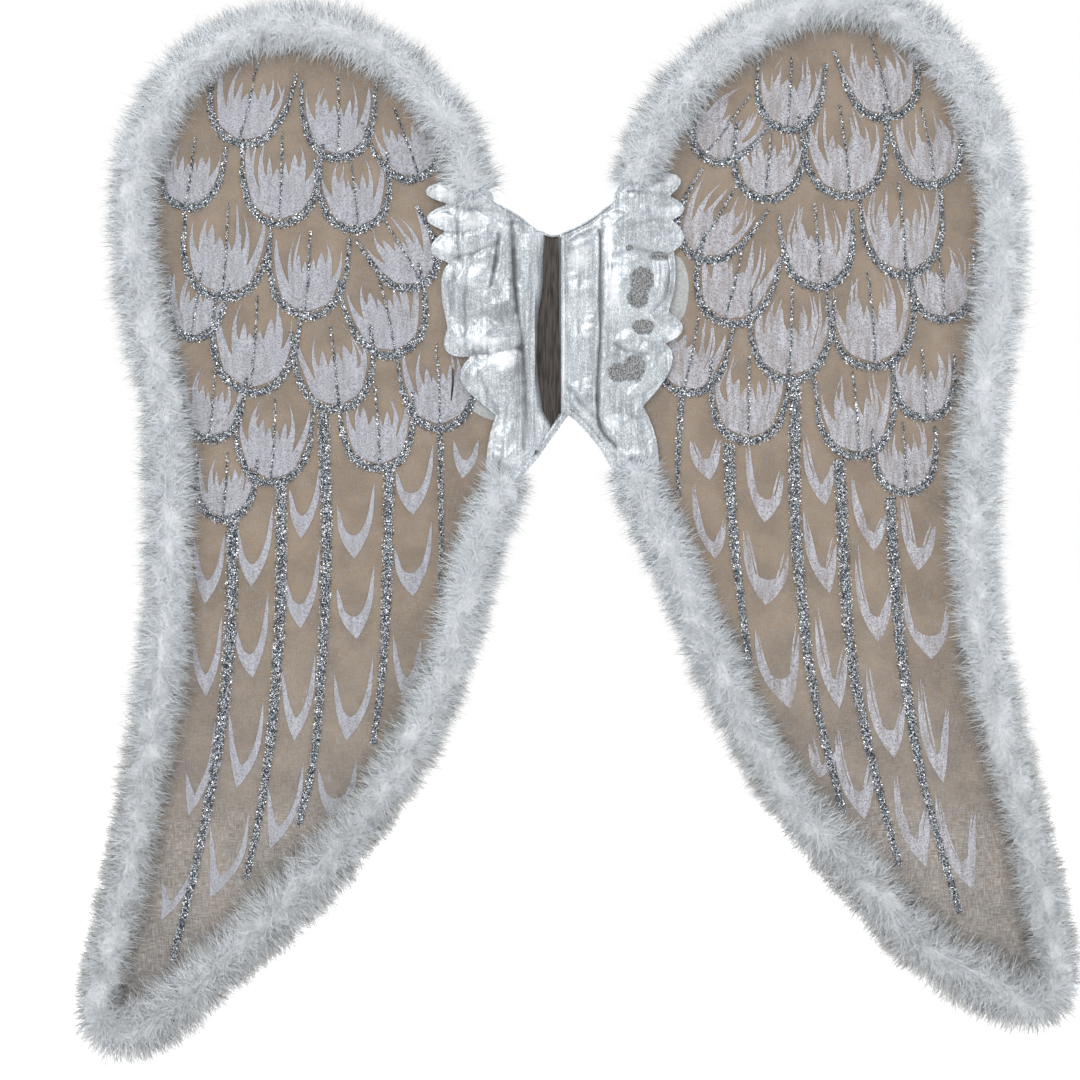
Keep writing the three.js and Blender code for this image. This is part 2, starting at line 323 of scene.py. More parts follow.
class Nodes:
    """A material under construction: one Principled shader and short calls that feed it."""

    def __init__(self, name, color, roughness, metallic=0.0):
        self.material = bpy.data.materials.new(name)
        self.material.use_nodes = True
        self.tree = self.material.node_tree
        self.shader = self.tree.nodes["Principled BSDF"]
        self.set("Base Color", (*color, 1))
        self.set("Roughness", roughness)
        self.set("Metallic", metallic)

    def set(self, socket, value):
        self.shader.inputs[socket].default_value = value
        return self

    def node(self, kind, **values):
        made = self.tree.nodes.new("ShaderNode" + kind)
        for key, value in values.items():
            setattr(made, key, value)
        return made

    def feed(self, target, value):
        if hasattr(value, "is_linked"):
            self.tree.links.new(value, target)
        else:
            target.default_value = value

    def place(self, scale):
        """Object coordinates, stretched by scale: one number, or one for each axis."""
        coordinates = self.node("TexCoord").outputs["Object"]
        mapping = self.node("Mapping")
        self.feed(mapping.inputs["Vector"], coordinates)
        mapping.inputs["Scale"].default_value = scale if isinstance(scale, tuple) else (scale,) * 3
        return mapping.outputs["Vector"]

    def noise(self, scale, detail=2.0, roughness=0.5):
        made = self.node("TexNoise")
        self.feed(made.inputs["Vector"], self.place(scale))
        made.inputs["Scale"].default_value = 1.0
        made.inputs["Detail"].default_value = detail
        made.inputs["Roughness"].default_value = roughness
        return made.outputs["Fac"]

    def cells(self, scale):
        made = self.node("TexVoronoi")
        self.feed(made.inputs["Vector"], self.place(scale))
        made.inputs["Scale"].default_value = 1.0
        return made

    def span(self, value, low, high, to_low=0.0, to_high=1.0):
        made = self.node("MapRange")
        self.feed(made.inputs["Value"], value)
        set_range(made, low, high, to_low, to_high)
        return made.outputs["Result"]

    def math(self, operation, a, b):
        made = self.node("Math", operation=operation)
        self.feed(made.inputs[0], a)
        self.feed(made.inputs[1], b)
        return made.outputs[0]

    def mix(self, factor, a, b):
        made = self.node("Mix", data_type="RGBA")
        for socket, value in ((0, factor), (6, a), (7, b)):
            self.feed(made.inputs[socket], (*value, 1) if isinstance(value, tuple) else value)
        return made.outputs[2]

    def color(self, value):
        self.feed(self.shader.inputs["Base Color"], value)

    def bump(self, height, depth_mm):
        made = self.node("Bump")
        made.inputs["Strength"].default_value = 1.0
        made.inputs["Distance"].default_value = depth_mm * MM
        self.feed(made.inputs["Height"], height)
        if self.shader.inputs["Normal"].is_linked:
            self.feed(made.inputs["Normal"], self.shader.inputs["Normal"].links[0].from_socket)
        self.feed(self.shader.inputs["Normal"], made.outputs["Normal"])


def srgb(red, green, blue):
    """Linear colour from the usual 0 to 255 display values."""
    def linear(value):
        value /= 255
        return value / 12.92 if value <= 0.04045 else ((value + 0.055) / 1.055) ** 2.4
    return linear(red), linear(green), linear(blue)


TAN = srgb(133, 115, 96)
TAN_DARK = srgb(92, 78, 64)
# The grey of the painted shade towards the wing tips.
TAN_PAINTED_SHADE_GREY = srgb(108, 109, 110)


def sheer_fabric():
    """Tan knit: fine cross weave, slubs, a greyer painted shade of the marabou towards the wing tips, a
    little see-through.
    """
    n = Nodes("sheer_fabric", TAN, 0.85)
    warp = n.noise((1100, 1, 140), 1.0)
    weft = n.noise((150, 1, 1000), 1.0)
    weave = n.math("ADD", warp, weft)
    cloud = n.noise(34, 6.0, 0.62)
    height = n.node("SeparateXYZ")
    n.feed(height.inputs[0], n.node("TexCoord").outputs["Object"])
    # Painted shade: lower down, towards the wing tips, the tan turns grey, standing in for the marabou's
    # shadow.
    tip_shade_part = n.span(height.outputs["Z"], -0.18, -0.48)
    tone = n.mix(n.span(weave, 0.75, 1.25), TAN_DARK, TAN)
    tone = n.mix(n.math("MULTIPLY", tip_shade_part, 0.75), tone, TAN_PAINTED_SHADE_GREY)
    tone = n.mix(n.span(cloud, 0.42, 0.68, 0.0, 0.42), tone, srgb(150, 134, 116))
    tone = n.mix(n.span(cloud, 0.5, 0.34, 0.0, 0.5), tone, srgb(104, 92, 79))
    n.color(tone)
    n.feed(n.shader.inputs["Alpha"], n.span(weave, 0.7, 1.2, 0.84, 1.0))
    n.bump(weave, 0.25)
    n.set("Sheen Weight", 0.2).set("Sheen Roughness", 0.5)
    return n.material


def print_ink(name, color, cover, full):
    """Soft white ink on knit: the weave shows through as grain, and thin ink lets the fabric show."""
    n = Nodes(name, color, 0.7)
    grain = n.noise(900, 2.0)
    streak = n.noise((300, 300, 45), 3.0)
    dark, light = (tuple(amount * c for c in color) for amount in (0.74, 1.1))
    n.color(n.mix(n.span(grain, 0.38, 0.62), dark, light))
    worn = n.math("MULTIPLY", n.span(streak, 0.3, 0.62, cover, full), n.span(grain, 0.3, 0.5, cover, full))
    n.feed(n.shader.inputs["Alpha"], worn)
    n.bump(grain, 0.1)
    return n.material


def flake(name, color, roughness):
    """One brightness of the same glitter foil, cut small, slightly scratched: the brightnesses are painted
    glints and painted shade.
    """
    n = Nodes(name, color, roughness, 1.0)
    n.bump(n.noise(2500, 1.0), 0.02)
    return n.material


def glitter_glue():
    """Grey specked glue under the flakes."""
    n = Nodes("glitter_glue", srgb(104, 108, 112), 0.5, 0.3)
    speck = n.cells(1300).outputs["Color"]
    n.color(n.mix(n.span(speck, 0.2, 0.9), srgb(60, 65, 70), srgb(150, 156, 162)))
    n.bump(n.noise(1200, 2.0), 0.3)
    return n.material


def down(name, color):
    """Marabou barbs: matte with a bright sheen at grazing angles."""
    n = Nodes(name, color, 0.9)
    n.set("Sheen Weight", 0.2).set("Sheen Roughness", 0.7).set("Specular IOR Level", 0.15)
    n.bump(n.noise(3000, 1.0), 0.02)
    return n.material


def down_core():
    """The dense down between the barbs' roots, in soft tufts."""
    n = Nodes("down_core", srgb(214, 217, 220), 1.0)
    tuft = n.noise(260, 4.0, 0.65)
    n.color(n.mix(n.span(tuft, 0.3, 0.7), srgb(205, 208, 211), srgb(222, 224, 227)))
    n.bump(tuft, 1.0)
    n.set("Sheen Weight", 0.3)
    return n.material


def rubbed_areas(n, spots):
    """Where the foil has rubbed off, round each spot, and the pale halo round that."""
    ragged = n.math("MULTIPLY", n.noise(260, 3.0), 0.6)
    rubbed = halo = None
    for x, z, across, tall in spots:
        spot = n.node("Mapping")
        n.feed(spot.inputs["Vector"], n.node("TexCoord").outputs["Object"])
        spot.inputs["Scale"].default_value = (1000 / across, 0.0, 1000 / tall)
        spot.inputs["Location"].default_value = (-x / across, 0.0, -z / tall)
        reach = n.node("VectorMath", operation="LENGTH")
        n.feed(reach.inputs[0], spot.outputs["Vector"])
        uneven = n.math("ADD", reach.outputs["Value"], ragged)
        bare, pale = n.span(uneven, 1.42, 1.18), n.span(uneven, 2.5, 1.7)
        rubbed = bare if rubbed is None else n.math("MAXIMUM", rubbed, bare)
        halo = pale if halo is None else n.math("MAXIMUM", halo, pale)
    return rubbed, halo


def foil_cloth(name, spots=()):
    """Silver foil cloth: upright threads, painted sparkle, painted shade in grey creases, and spots where
    the foil has rubbed off. The mesh's "tone" values darken it with painted shade (above zero) or brighten
    it with painted highlights (below zero)."""
    n = Nodes(name, srgb(200, 206, 211), 0.46, 0.8)
    threads = n.noise((1400, 300, 110), 2.0)
    cross = n.noise((240, 240, 1200), 1.0)
    grain = n.noise((1150, 1150, 800), 1.0)
    streaks = n.noise((430, 80, 20), 4.0, 0.6)
    highlight_blotch = n.noise((48, 48, 30), 3.0)
    # Painted reflection: grey streaks and bright blotches in the colour stand in for the foil's
    # reflections.
    tone = n.mix(n.span(streaks, 0.36, 0.62), srgb(160, 166, 171), srgb(204, 210, 215))
    tone = n.mix(n.span(threads, 0.34, 0.56, 0.5, 0.0), tone, srgb(140, 146, 151))
    tone = n.mix(n.span(highlight_blotch, 0.5, 0.68, 0.0, 0.55), tone, srgb(230, 236, 241))
    n.feed(n.shader.inputs["Roughness"], n.span(streaks, 0.3, 0.7, 0.52, 0.4))
    if spots:
        rubbed, halo = rubbed_areas(n, spots)
        tone = n.mix(n.math("MULTIPLY", halo, 0.75), tone, srgb(190, 196, 200))
    # Painted sparkle: dark and bright specks of grain.
    tone = n.mix(n.span(grain, 0.42, 0.54, 0.5, 0.0), tone, srgb(140, 146, 151))
    tone = n.mix(n.span(grain, 0.58, 0.68, 0.0, 0.4), tone, srgb(250, 252, 254))
    # Painted shade and painted highlights from the mesh's tone values.
    painted_shade_and_highlight = n.node("Attribute", attribute_name="tone").outputs["Fac"]
    tone = n.mix(n.span(painted_shade_and_highlight, 0.0, 1.0, 0.0, 0.95), tone, srgb(78, 81, 84))
    tone = n.mix(n.span(painted_shade_and_highlight, 0.0, -1.0, 0.0, 0.85), tone, srgb(250, 252, 254))
    if spots:
        cloth = n.mix(n.span(grain, 0.4, 0.6), srgb(74, 75, 76), srgb(146, 148, 150))
        tone = n.mix(rubbed, tone, cloth)
        n.feed(n.shader.inputs["Metallic"], n.span(rubbed, 0, 1, 0.8, 0.1))
    n.color(tone)
    n.bump(threads, 0.2)
    n.bump(grain, 0.09)
    n.bump(cross, 0.08)
    n.bump(n.noise((120, 120, 60), 4.0), 0.45)
    return n.material


def woven(name, light, dark, threads=900, roughness=0.85, depth=0.15):
    """Plain cloth: threads between a light and a dark tone, with a soft cloud over them."""
    n = Nodes(name, light, roughness)
    warp = n.noise(threads, 1.0)
    cloud = n.noise(60, 3.0)
    tone = n.mix(n.span(warp, 0.35, 0.65), dark, light)
    n.color(n.mix(n.span(cloud, 0.4, 0.7, 0.0, 0.3), tone, dark))
    n.bump(warp, depth)
    return n.material


def metal(name, light, dark, roughness):
    """Drawn metal with fine scratches along Z."""
    n = Nodes(name, light, roughness, 1.0)
    draw = n.noise((900, 900, 60), 3.0)
    n.color(n.mix(n.span(draw, 0.35, 0.7), dark, light))
    n.feed(n.shader.inputs["Roughness"], n.span(draw, 0.3, 0.7, roughness - 0.08, roughness + 0.15))
    n.bump(draw, 0.03)
    return n.material


def plain_floor():
    """The studio floor: almost white."""
    n = Nodes("pale_floor", (0.9, 0.9, 0.9), 0.8)
    grain = n.noise(8, 3.0)
    n.color(n.mix(n.span(grain, 0.3, 0.7), (0.95, 0.95, 0.95), (0.97, 0.97, 0.97)))
    n.set("Emission Color", (1, 1, 1, 1)).set("Emission Strength", 0.1)
    return n.material


FABRIC = sheer_fabric()
INK = {"left": print_ink("white_ink", srgb(165, 166, 174), 0.74, 1.0),
       "right": print_ink("thin_white_ink", srgb(184, 184, 192), 0.42, 0.92)}
# Four brightnesses of one glitter foil: painted glints down to painted shade, standing in for the flakes'
# sparkle.
GLINT_FLAKES = [flake("flake_painted_glint", srgb(238, 242, 246), 0.28),
          flake("flake_silver", srgb(176, 183, 190), 0.32),
          flake("flake_grey", srgb(112, 120, 128), 0.36),
          flake("flake_painted_dark", srgb(66, 73, 82), 0.36)]
GLUE = glitter_glue()
# Four tones of the white down: they vary at random from tuft to tuft, and the darker ones are also painted
# shade at the band's rims and back.
DOWN = [down("down_white", srgb(221, 227, 232)), down("down_pearl", srgb(211, 216, 221)),
        down("down_shade", srgb(189, 192, 194)), down("down_fringe", srgb(168, 163, 158))]
CORE = down_core()
LAME = foil_cloth("silver_lame")
FACING = woven("cover_facing", srgb(176, 178, 178), srgb(146, 148, 148))
LINING = woven("panel_lining", srgb(206, 210, 214), srgb(182, 186, 190))
WADDING = woven("panel_wadding", srgb(232, 232, 230), srgb(205, 205, 202), 260, 1.0, 0.8)
# Brown-grey ribbed cloth darkened with painted shade of the fold's valley between the half panels.
SHADED_DARK_CLOTH = woven("dark_ribbed_cloth_painted_shade", srgb(86, 79, 74), srgb(50, 45, 42), (700, 60, 60), 0.9, 0.4)
TAPE = woven("hem_tape", srgb(220, 220, 218), srgb(190, 190, 188))
ELASTIC = woven("elastic_webbing", srgb(232, 232, 229), srgb(196, 196, 193), (1400, 200, 500), 0.8, 0.3)
THREAD = woven("sewing_thread", srgb(226, 228, 230), srgb(176, 178, 180), 2500, 0.6, 0.05)
WIRE = metal("frame_wire", srgb(168, 171, 175), srgb(110, 113, 118), 0.35)
FERRULE = metal("ferrule", srgb(205, 207, 210), srgb(160, 163, 167), 0.4)


# ---------------------------------------------------------------- wing fabric

def closed_offset(loop, distance_out):
    """A closed anticlockwise outline moved outwards."""
    along = unit(np.roll(loop, -1, axis=0) - np.roll(loop, 1, axis=0))
    return loop + distance_out * np.stack([along[:, 1], -along[:, 0]], axis=1)


def trimmed_stretch(places, node):
    """Which places on a wing's wire line lie inside the CAD trim's bore, as a run of places in order."""
    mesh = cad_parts[node].data
    vertices = np.array([v.co for v in mesh.vertices]) / MM
    held = []
    for x, z in places:
        away = np.linalg.norm(vertices - (x, FABRIC_Y, z), axis=1)
        held.append(np.sum(away < 4.9) >= 5)
    held = np.array(held)
    first = next(i for i in range(len(held)) if held[i] and not held[i - 1])
    turned = np.roll(held, -first)
    return first, int(np.argmin(turned)) if not turned.all() else len(held)


def cut_line(line, start, end, before, after):
    """The part of a line from start to end, with a little before and after."""
    run = run_along(line)
    first, last = (run[np.argmin(np.linalg.norm(line - p, axis=1))] for p in (start, end))
    return line[(run >= first - before) & (run <= last + after)]


def fabric_y(points):
    """The fabric's place along Y, from x and z: a gentle billow that dies out at the wire and panel."""
    x, z = points[:, 0], points[:, 1]
    billow = 1.6 * ripple(x, z, 11, 9, 330, 130) + 0.5 * ripple(x, z, 12, 12, 90, 45)
    free = np.minimum(ramp(edge_distance(points), 3, 45), 1)
    panel = ramp(np.abs(x), 88, 150) + (1 - ramp(np.abs(x), 88, 150)) * ramp(np.abs(z), 120, 175)
    return FABRIC_Y - billow * free * panel


def edge_distance(points):
    """How far inside its own wing's fabric edge each point lies."""
    left = points[:, 0] < 0
    out = np.empty(len(points))
    for side, mine in (("left", left), ("right", ~left)):
        if mine.any():
            out[mine] = distance(points[mine], FABRIC_EDGE[side])
    return out


def on_fabric(points, lift):
    """Plane points [x, z] as [x, y, z], lying lift in front of the fabric."""
    return upright(points, fabric_y(points) - lift)


FABRIC_EDGE = {side: boundary(f"{side}_wing_fabric") for side in SIDES}
TRIM_LINE = {}
for side in SIDES:
    stations = closed_offset(FABRIC_EDGE[side], FABRIC_TO_WIRE)
    first, count = trimmed_stretch(stations, f"{side}_marabou_trim")
    ordered = np.roll(stations, 3 - first, axis=0)
    stretch = smooth_line(ordered[:count + 6], 6)
    covered = cut_line(stretch, stretch[18], stretch[6 * (count + 2)], *DOWN_OVERLAP[side])
    TRIM_LINE[side] = even(covered, TRIM_STEP)

for side in SIDES:
    outline = smooth_line(FABRIC_EDGE[side], 2, closed=True)
    points, triangles = fill(outline, 8.0)
    cloth = new_mesh(f"{side}_sheer_wing", on_fabric(points, 0.0), backward(triangles), [FABRIC])
    attach(cloth, f"{side}_wing", "sheer_fabric", f"{side}_wing_fabric")


# ---------------------------------------------------------------- prints and glitter

# Feather scales: x and z of the lowest point, width, and lean in degrees towards the viewer's right.
SCALES = {
    "left": [(-232, 136, 50, 14), (-157, 125, 48, 0), (-96, 110, 44, -20), (-272, 88, 42, 9),
             (-202, 76, 54, 3), (-142, 71, 46, -6), (-94, 30, 46, -30), (-244, 20, 56, 4),
             (-182, 7, 50, 4), (-114, -22, 52, -12), (-268, -10, 40, 10), (-223, -50, 57, 5),
             (-157, -63, 50, -5), (-81, -77, 50, -2), (-254, -86, 42, 6), (-208, -118, 50, 4),
             (-126, -107, 48, -3), (-244, -146, 40, 5)],
    "right": [(116, 126, 46, 38), (179, 146, 44, 4), (257, 155, 50, -14), (162, 94, 46, 6),
              (226, 96, 54, -6), (290, 105, 46, -10), (109, 52, 48, 32), (204, 28, 50, -4),
              (268, 38, 54, -4), (132, 2, 52, 14), (180, -41, 56, 3), (245, -31, 56, -4),
              (297, 4, 44, -5), (101, -51, 46, 12), (149, -87, 50, 2), (233, -98, 50, -4),
              (283, -70, 42, -3), (268, -126, 42, -2)],
}
# Crescent feather tips: the low point, then the left and the right horn.
CRESCENTS = {
    "left": [(-64, -115, -71, -86, -52, -86), (-101, -142, -114, -109, -86, -89),
             (-185, -160, -194, -122, -170, -101), (-145, -175, -158, -135, -130, -118),
             (-222, -196, -233, -150, -206, -134), (-101, -203, -115, -167, -87, -147),
             (-257, -209, -265, -160, -242, -156), (-185, -227, -197, -188, -171, -165),
             (-143, -235, -158, -197, -130, -179), (-221, -264, -234, -226, -209, -199),
             (-256, -278, -266, -235, -244, -217), (-190, -311, -199, -258, -174, -245),
             (-151, -311, -160, -261, -131, -249), (-107, -281, -116, -232, -95, -235),
             (-233, -347, -239, -288, -213, -281), (-269, -367, -271, -335, -249, -296),
             (-208, -392, -210, -344, -183, -326), (-253, -429, -253, -374, -224, -364),
             (-290, -446, -289, -416, -261, -376), (-161, -371, -172, -332, -143, -325)],
    "right": [(121, -116, 106, -86, 129, -86), (162, -148, 148, -92, 176, -112),
              (207, -135, 191, -86, 214, -103), (244, -169, 227, -112, 253, -141),
              (277, -184, 264, -129, 290, -150), (125, -175, 108, -121, 133, -148),
              (163, -210, 146, -154, 180, -172), (211, -201, 191, -138, 216, -164),
              (247, -237, 230, -175, 257, -201), (287, -250, 266, -198, 300, -215),
              (181, -287, 155, -227, 188, -230), (218, -287, 200, -218, 224, -243),
              (259, -324, 238, -256, 267, -284), (296, -343, 277, -271, 300, -287),
              (237, -370, 215, -307, 244, -330), (283, -406, 259, -339, 286, -353),
              (319, -424, 290, -350, 320, -365), (203, -339, 195, -313, 216, -318)],
}
# Glitter quills: width at the top and the line they follow downwards.
QUILLS = {
    "left": [(7.4, [(-236, -146), (-238, -235), (-248, -323), (-264, -406), (-281, -475)]),
             (7.0, [(-200, -116), (-200, -205), (-206, -294), (-216, -368), (-226, -415)]),
             (7.0, [(-168, -65), (-166, -176), (-170, -264), (-176, -329), (-187, -374)]),
             (6.6, [(-119, -107), (-121, -205), (-125, -270), (-131, -314)]),
             (3.6, [(-81, -77), (-80, -146), (-81, -205)])],
    "right": [(3.6, [(100, -53), (97, -110), (98, -129)]),
              (6.6, [(135, -89), (137, -138), (143, -195), (151, -256)]),
              (7.2, [(185, -41), (185, -144), (191, -215), (200, -281), (221, -365)]),
              (7.2, [(218, -101), (221, -167), (227, -247), (240, -316), (263, -405)]),
              (7.0, [(256, -129), (259, -181), (266, -256), (280, -339), (308, -440)])],
}
# One printed feather, in widths: for each stroke its tip, how far it bows sideways on the way up and
# down, and the notch that follows it.
STROKES = [
    ((-0.47, 1.02), -0.03, -0.06, (-0.33, 0.48)), ((-0.12, 1.26), -0.12, -0.10, (-0.25, 0.72)),
    ((-0.18, 0.93), -0.01, 0.01, (-0.13, 0.62)), ((-0.07, 0.80), 0.00, 0.01, (-0.02, 0.58)),
    ((0.05, 0.75), 0.00, 0.01, (0.10, 0.56)), ((0.16, 0.88), -0.01, 0.01, (0.215, 0.56)),
    ((0.20, 1.18), 0.07, 0.10, (0.26, 0.34)), ((0.50, 1.14), 0.05, 0.04, None),
]


# Stray thin brush marks: for each printed feather, and for each horn of a feather tip.
STRANDS = {"left": 1, "right": 5}
HORN_STRANDS = {"left": 0, "right": 2}
# How far a horn of a feather tip has spread sideways at each part of its height, before its point.
HORN_RISE = (0, 0.12, 0.30, 0.52, 0.76)
HORN_SPREAD = (0, 0.32, 0.66, 0.90, 0.99)
# How tall the filled part of a feather tip is at most.
CRESCENT_BODY = {"left": 17.0, "right": 21.0}


def bowed(a, b, bow):
    """A line from a to b, without b, that bows sideways along u by the given amount."""
    steps = 5
    t = np.arange(steps)[:, None] / steps
    return (1 - t) * a + t * b + np.array([bow, 0.0]) * 4 * t * (1 - t)


def feather_outline(rng, loose):
    """The outline of one printed feather in widths. loose makes the brush marks longer and less even."""
    def jitter(point, size):
        return np.array(point) + rng.uniform(-size, size, 2)

    lower_left = smooth_line([(0, 0), (-0.34, 0.17), (-0.47, 0.50)], 6)
    parts = [lower_left[:-1]]
    at = lower_left[-1]
    for tip, rise, fall, notch in STROKES:
        end = jitter(tip, 0.03 + 0.05 * loose)
        low = np.array([0.46, 0.50]) if notch is None else jitter(notch, 0.02 + 0.05 * loose)
        parts += [bowed(at, end, rise), bowed(end, low, fall)]
        at = low
    parts.append(smooth_line([at, (0.33, 0.16), (0, 0)], 6)[:-1])
    shape = np.vstack(parts)
    shape = (np.roll(shape, 1, axis=0) + 3 * shape + np.roll(shape, -1, axis=0)) / 5
    return shape * (rng.choice([-1, 1]), 1)


def brush_strand(rng):
    """A thin stray brush mark beside the body of a printed feather, in widths."""
    u = rng.choice([-1, 1]) * rng.uniform(0.12, 0.43)
    low, high = rng.uniform(0.3, 0.5), rng.uniform(0.95, 1.25)
    places = [(u * 0.92, low), (u * 1.12, (low + high) / 2), (u * rng.uniform(0.75, 1.05), high)]
    line = smooth_line(places, 5)
    widths = 0.036 * np.sin(np.pi * np.linspace(0.08, 0.96, len(line))) + 0.006
    a, b = ribbon(line, widths)
    return np.vstack([a, b[::-1]])


def place_motif(shape, x, z, width, lean):
    """A shape in widths, put down at a feather scale's place, size and lean."""
    turn = math.radians(lean)
    u, v = shape[:, 0] * width, (shape[:, 1] + 0.05) * width
    return np.stack([x + u * math.cos(turn) + v * math.sin(turn),
                     z - u * math.sin(turn) + v * math.cos(turn)], axis=1)


def crescent_outline(low, left, right, body, rng):
    """A feather tip: pointed below, hollow above, with a thin horn on each side."""
    low, left, right = (np.array(p, float) for p in (low, left, right))
    rises, spreads = (*HORN_RISE, 1.0), (*HORN_SPREAD, 1.0)
    hollow = low[1] + min(body, 0.5 * (min(left[1], right[1]) - low[1])) + rng.uniform(-1, 1)

    def edge(horn, height, inset=0.0):
        part = (height - low[1]) / (horn[1] - low[1])
        return np.array([low[0] + (horn[0] - low[0]) * np.interp(part, rises, spreads) + inset, height])

    def arm(horn, inward):
        above = horn[1] - hollow
        return [edge(horn, hollow + above * part, inward * wide)
                for part, wide in ((0.72, 2.4), (0.4, 3.9), (0.12, 5.6))]

    middle = (edge(left, hollow) + edge(right, hollow)) / 2
    outer_left = [edge(left, low[1] + part * (left[1] - low[1])) for part in rises]
    outer_right = [edge(right, low[1] + part * (right[1] - low[1])) for part in rises]
    inner = [right] + arm(right, -1) + [middle] + arm(left, 1)[::-1] + [left]
    lines = smooth_line(outer_left[::-1], 3), smooth_line(outer_right, 3), smooth_line(inner, 3)
    return np.vstack([line[:-1] for line in lines])


def horn_strand(low, horn, rng):
    """A thin second brush mark beside one horn of a feather tip."""
    low, horn = np.array(low, float), np.array(horn, float)
    side, rise = np.sign(horn[0] - low[0]), horn[1] - low[1]
    inset = side * rng.uniform(3.4, 7.2)
    start, end = rng.uniform(0.24, 0.36), rng.uniform(0.75, 1.2)
    heights = (start, (start + end) / 2, end)
    spread = np.interp(heights, (*HORN_RISE, 1.2), (*HORN_SPREAD, 1.02))
    places = [(low[0] + (horn[0] - low[0]) * part - inset, low[1] + rise * up)
              for part, up in zip(spread, heights)]
    places[2] = (places[2][0] + 0.5 * inset, places[2][1])
    line = smooth_line(places, 5)
    a, b = ribbon(line, 1.4 * np.sin(np.pi * np.linspace(0.06, 0.97, len(line))) + 0.25)
    return np.vstack([a, b[::-1]])


def flat_shapes(outlines, pitch, clip):
    """Several outlines filled in one set of points and triangles, without what passes the clip edge."""
    points, faces = [], []
    for shape in outlines:
        shape = shape if signed_area(shape) > 0 else shape[::-1]
        some, triangles = fill(shape, pitch)
        middle = np.array([some[list(t)].mean(0) for t in triangles])
        kept = inside(middle, clip)
        faces += [tuple(len(points) + i for i in t) for t, keep in zip(triangles, kept) if keep]
        points += list(some)
    return np.array(points), faces


def ribbon(line, widths):
    """A flat band along a plane line: its two long edges."""
    side = outward(line) * np.asarray(widths)[:, None] / 2
    return line - side, line + side


def glitter_lines(side):
    """Every glitter line on a wing: its places, the width at each, and how full of flakes it is."""
    rng = np.random.default_rng(31 if side == "left" else 32)
    lines = []
    for x, z, width, lean in SCALES[side]:
        grow = 1.0 + rng.uniform(-0.04, 0.06)
        cup = [(-0.57, 1.12), (-0.56, 0.80), (-0.53, 0.50), (-0.41, 0.17), (-0.20, -0.01), (0, -0.05),
               (0.20, -0.01), (0.41, 0.17), (0.53, 0.50), (0.56, 0.80), (0.57, 1.12)]
        cup = np.array(cup) * grow + rng.uniform(-0.012, 0.012, (11, 2))
        line = even(place_motif(smooth_line(cup, 6), x, z, width, lean), GLITTER_STEP)
        t = np.abs(np.linspace(-1, 1, len(line)))
        lines.append((line, 5.6 - 3.6 * ramp(t, 0.15, 0.9), 1.0 - 0.45 * ramp(t, 0.6, 1.0)))
        vein = place_motif(np.array([(0, 0.0), (0.015, 0.5), (-0.01, 1.22)]), x, z, width, lean)
        vein = even(vein, GLITTER_STEP)
        lines.append((vein, np.full(len(vein), 1.5), np.full(len(vein), 0.75)))
    for width, places in QUILLS[side]:
        line = even(smooth_line(places, 8), GLITTER_STEP)
        t = np.linspace(0, 1, len(line))
        lines.append((line, width * (1 - 0.45 * ramp(t, 0.2, 1.0)), np.full(len(line), 1.0)))
    return lines


def white_prints(side, rng, edge):
    """The printed feathers, feather tips and brush marks of a wing, as thin ink on the fabric."""
    loose = 0.0 if side == "left" else 0.6
    shapes = [place_motif(feather_outline(rng, loose), *scale) for scale in SCALES[side]]
    shapes += [place_motif(brush_strand(rng), *scale)
               for scale in SCALES[side] for _ in range(STRANDS[side])]
    tips = [(c[0:2], c[2:4], c[4:6]) for c in CRESCENTS[side]]
    shapes += [crescent_outline(*tip, CRESCENT_BODY[side], rng) for tip in tips]
    shapes += [horn_strand(tip[0], horn, rng) for tip in tips for horn in tip[1:]
               for _ in range(HORN_STRANDS[side])]
    points, faces = flat_shapes(shapes, 5.0, edge)
    points = on_fabric(points, PRINT_LIFT)
    return new_mesh(f"{side}_white_prints", points, backward(faces), [INK[side]])


def glitter_glue_lines(side, rng, edge):
    """The grey glue under a wing's glitter, with gaps where a line runs thin, and the flakes' places."""
    points, faces, centres = [], [], []
    for line, widths, fullness in glitter_lines(side):
        low, high = ribbon(line, widths * 0.7)
        start = len(points)
        points += [p for pair in zip(low, high) for p in pair]
        for i in range(len(line) - 1):
            if rng.random() < fullness[i] ** 2:
                k = start + 2 * i
                faces.append((k, k + 1, k + 3, k + 2))
        count = int(np.sum(widths * fullness) * GLITTER_STEP * FLAKES_PER_MM2)
        at = rng.uniform(0, len(line) - 1.001, count)
        i = at.astype(int)
        part = (at - i)[:, None]
        aside = np.clip(rng.normal(0, 0.3, count), -0.64, 0.64) * widths[i]
        spots = line[i] * (1 - part) + line[i + 1] * part + outward(line)[i] * aside[:, None]
        centres.append(spots[rng.random(count) < fullness[i]])
    points, centres = np.array(points), np.vstack(centres)
    within = inside(points, edge)
    faces = [f for f in faces if within[list(f)].all()]
    made = new_mesh(f"{side}_glitter_glue", on_fabric(points, GLITTER_LIFT), faces, [GLUE])
    return made, centres[inside(centres, edge)]


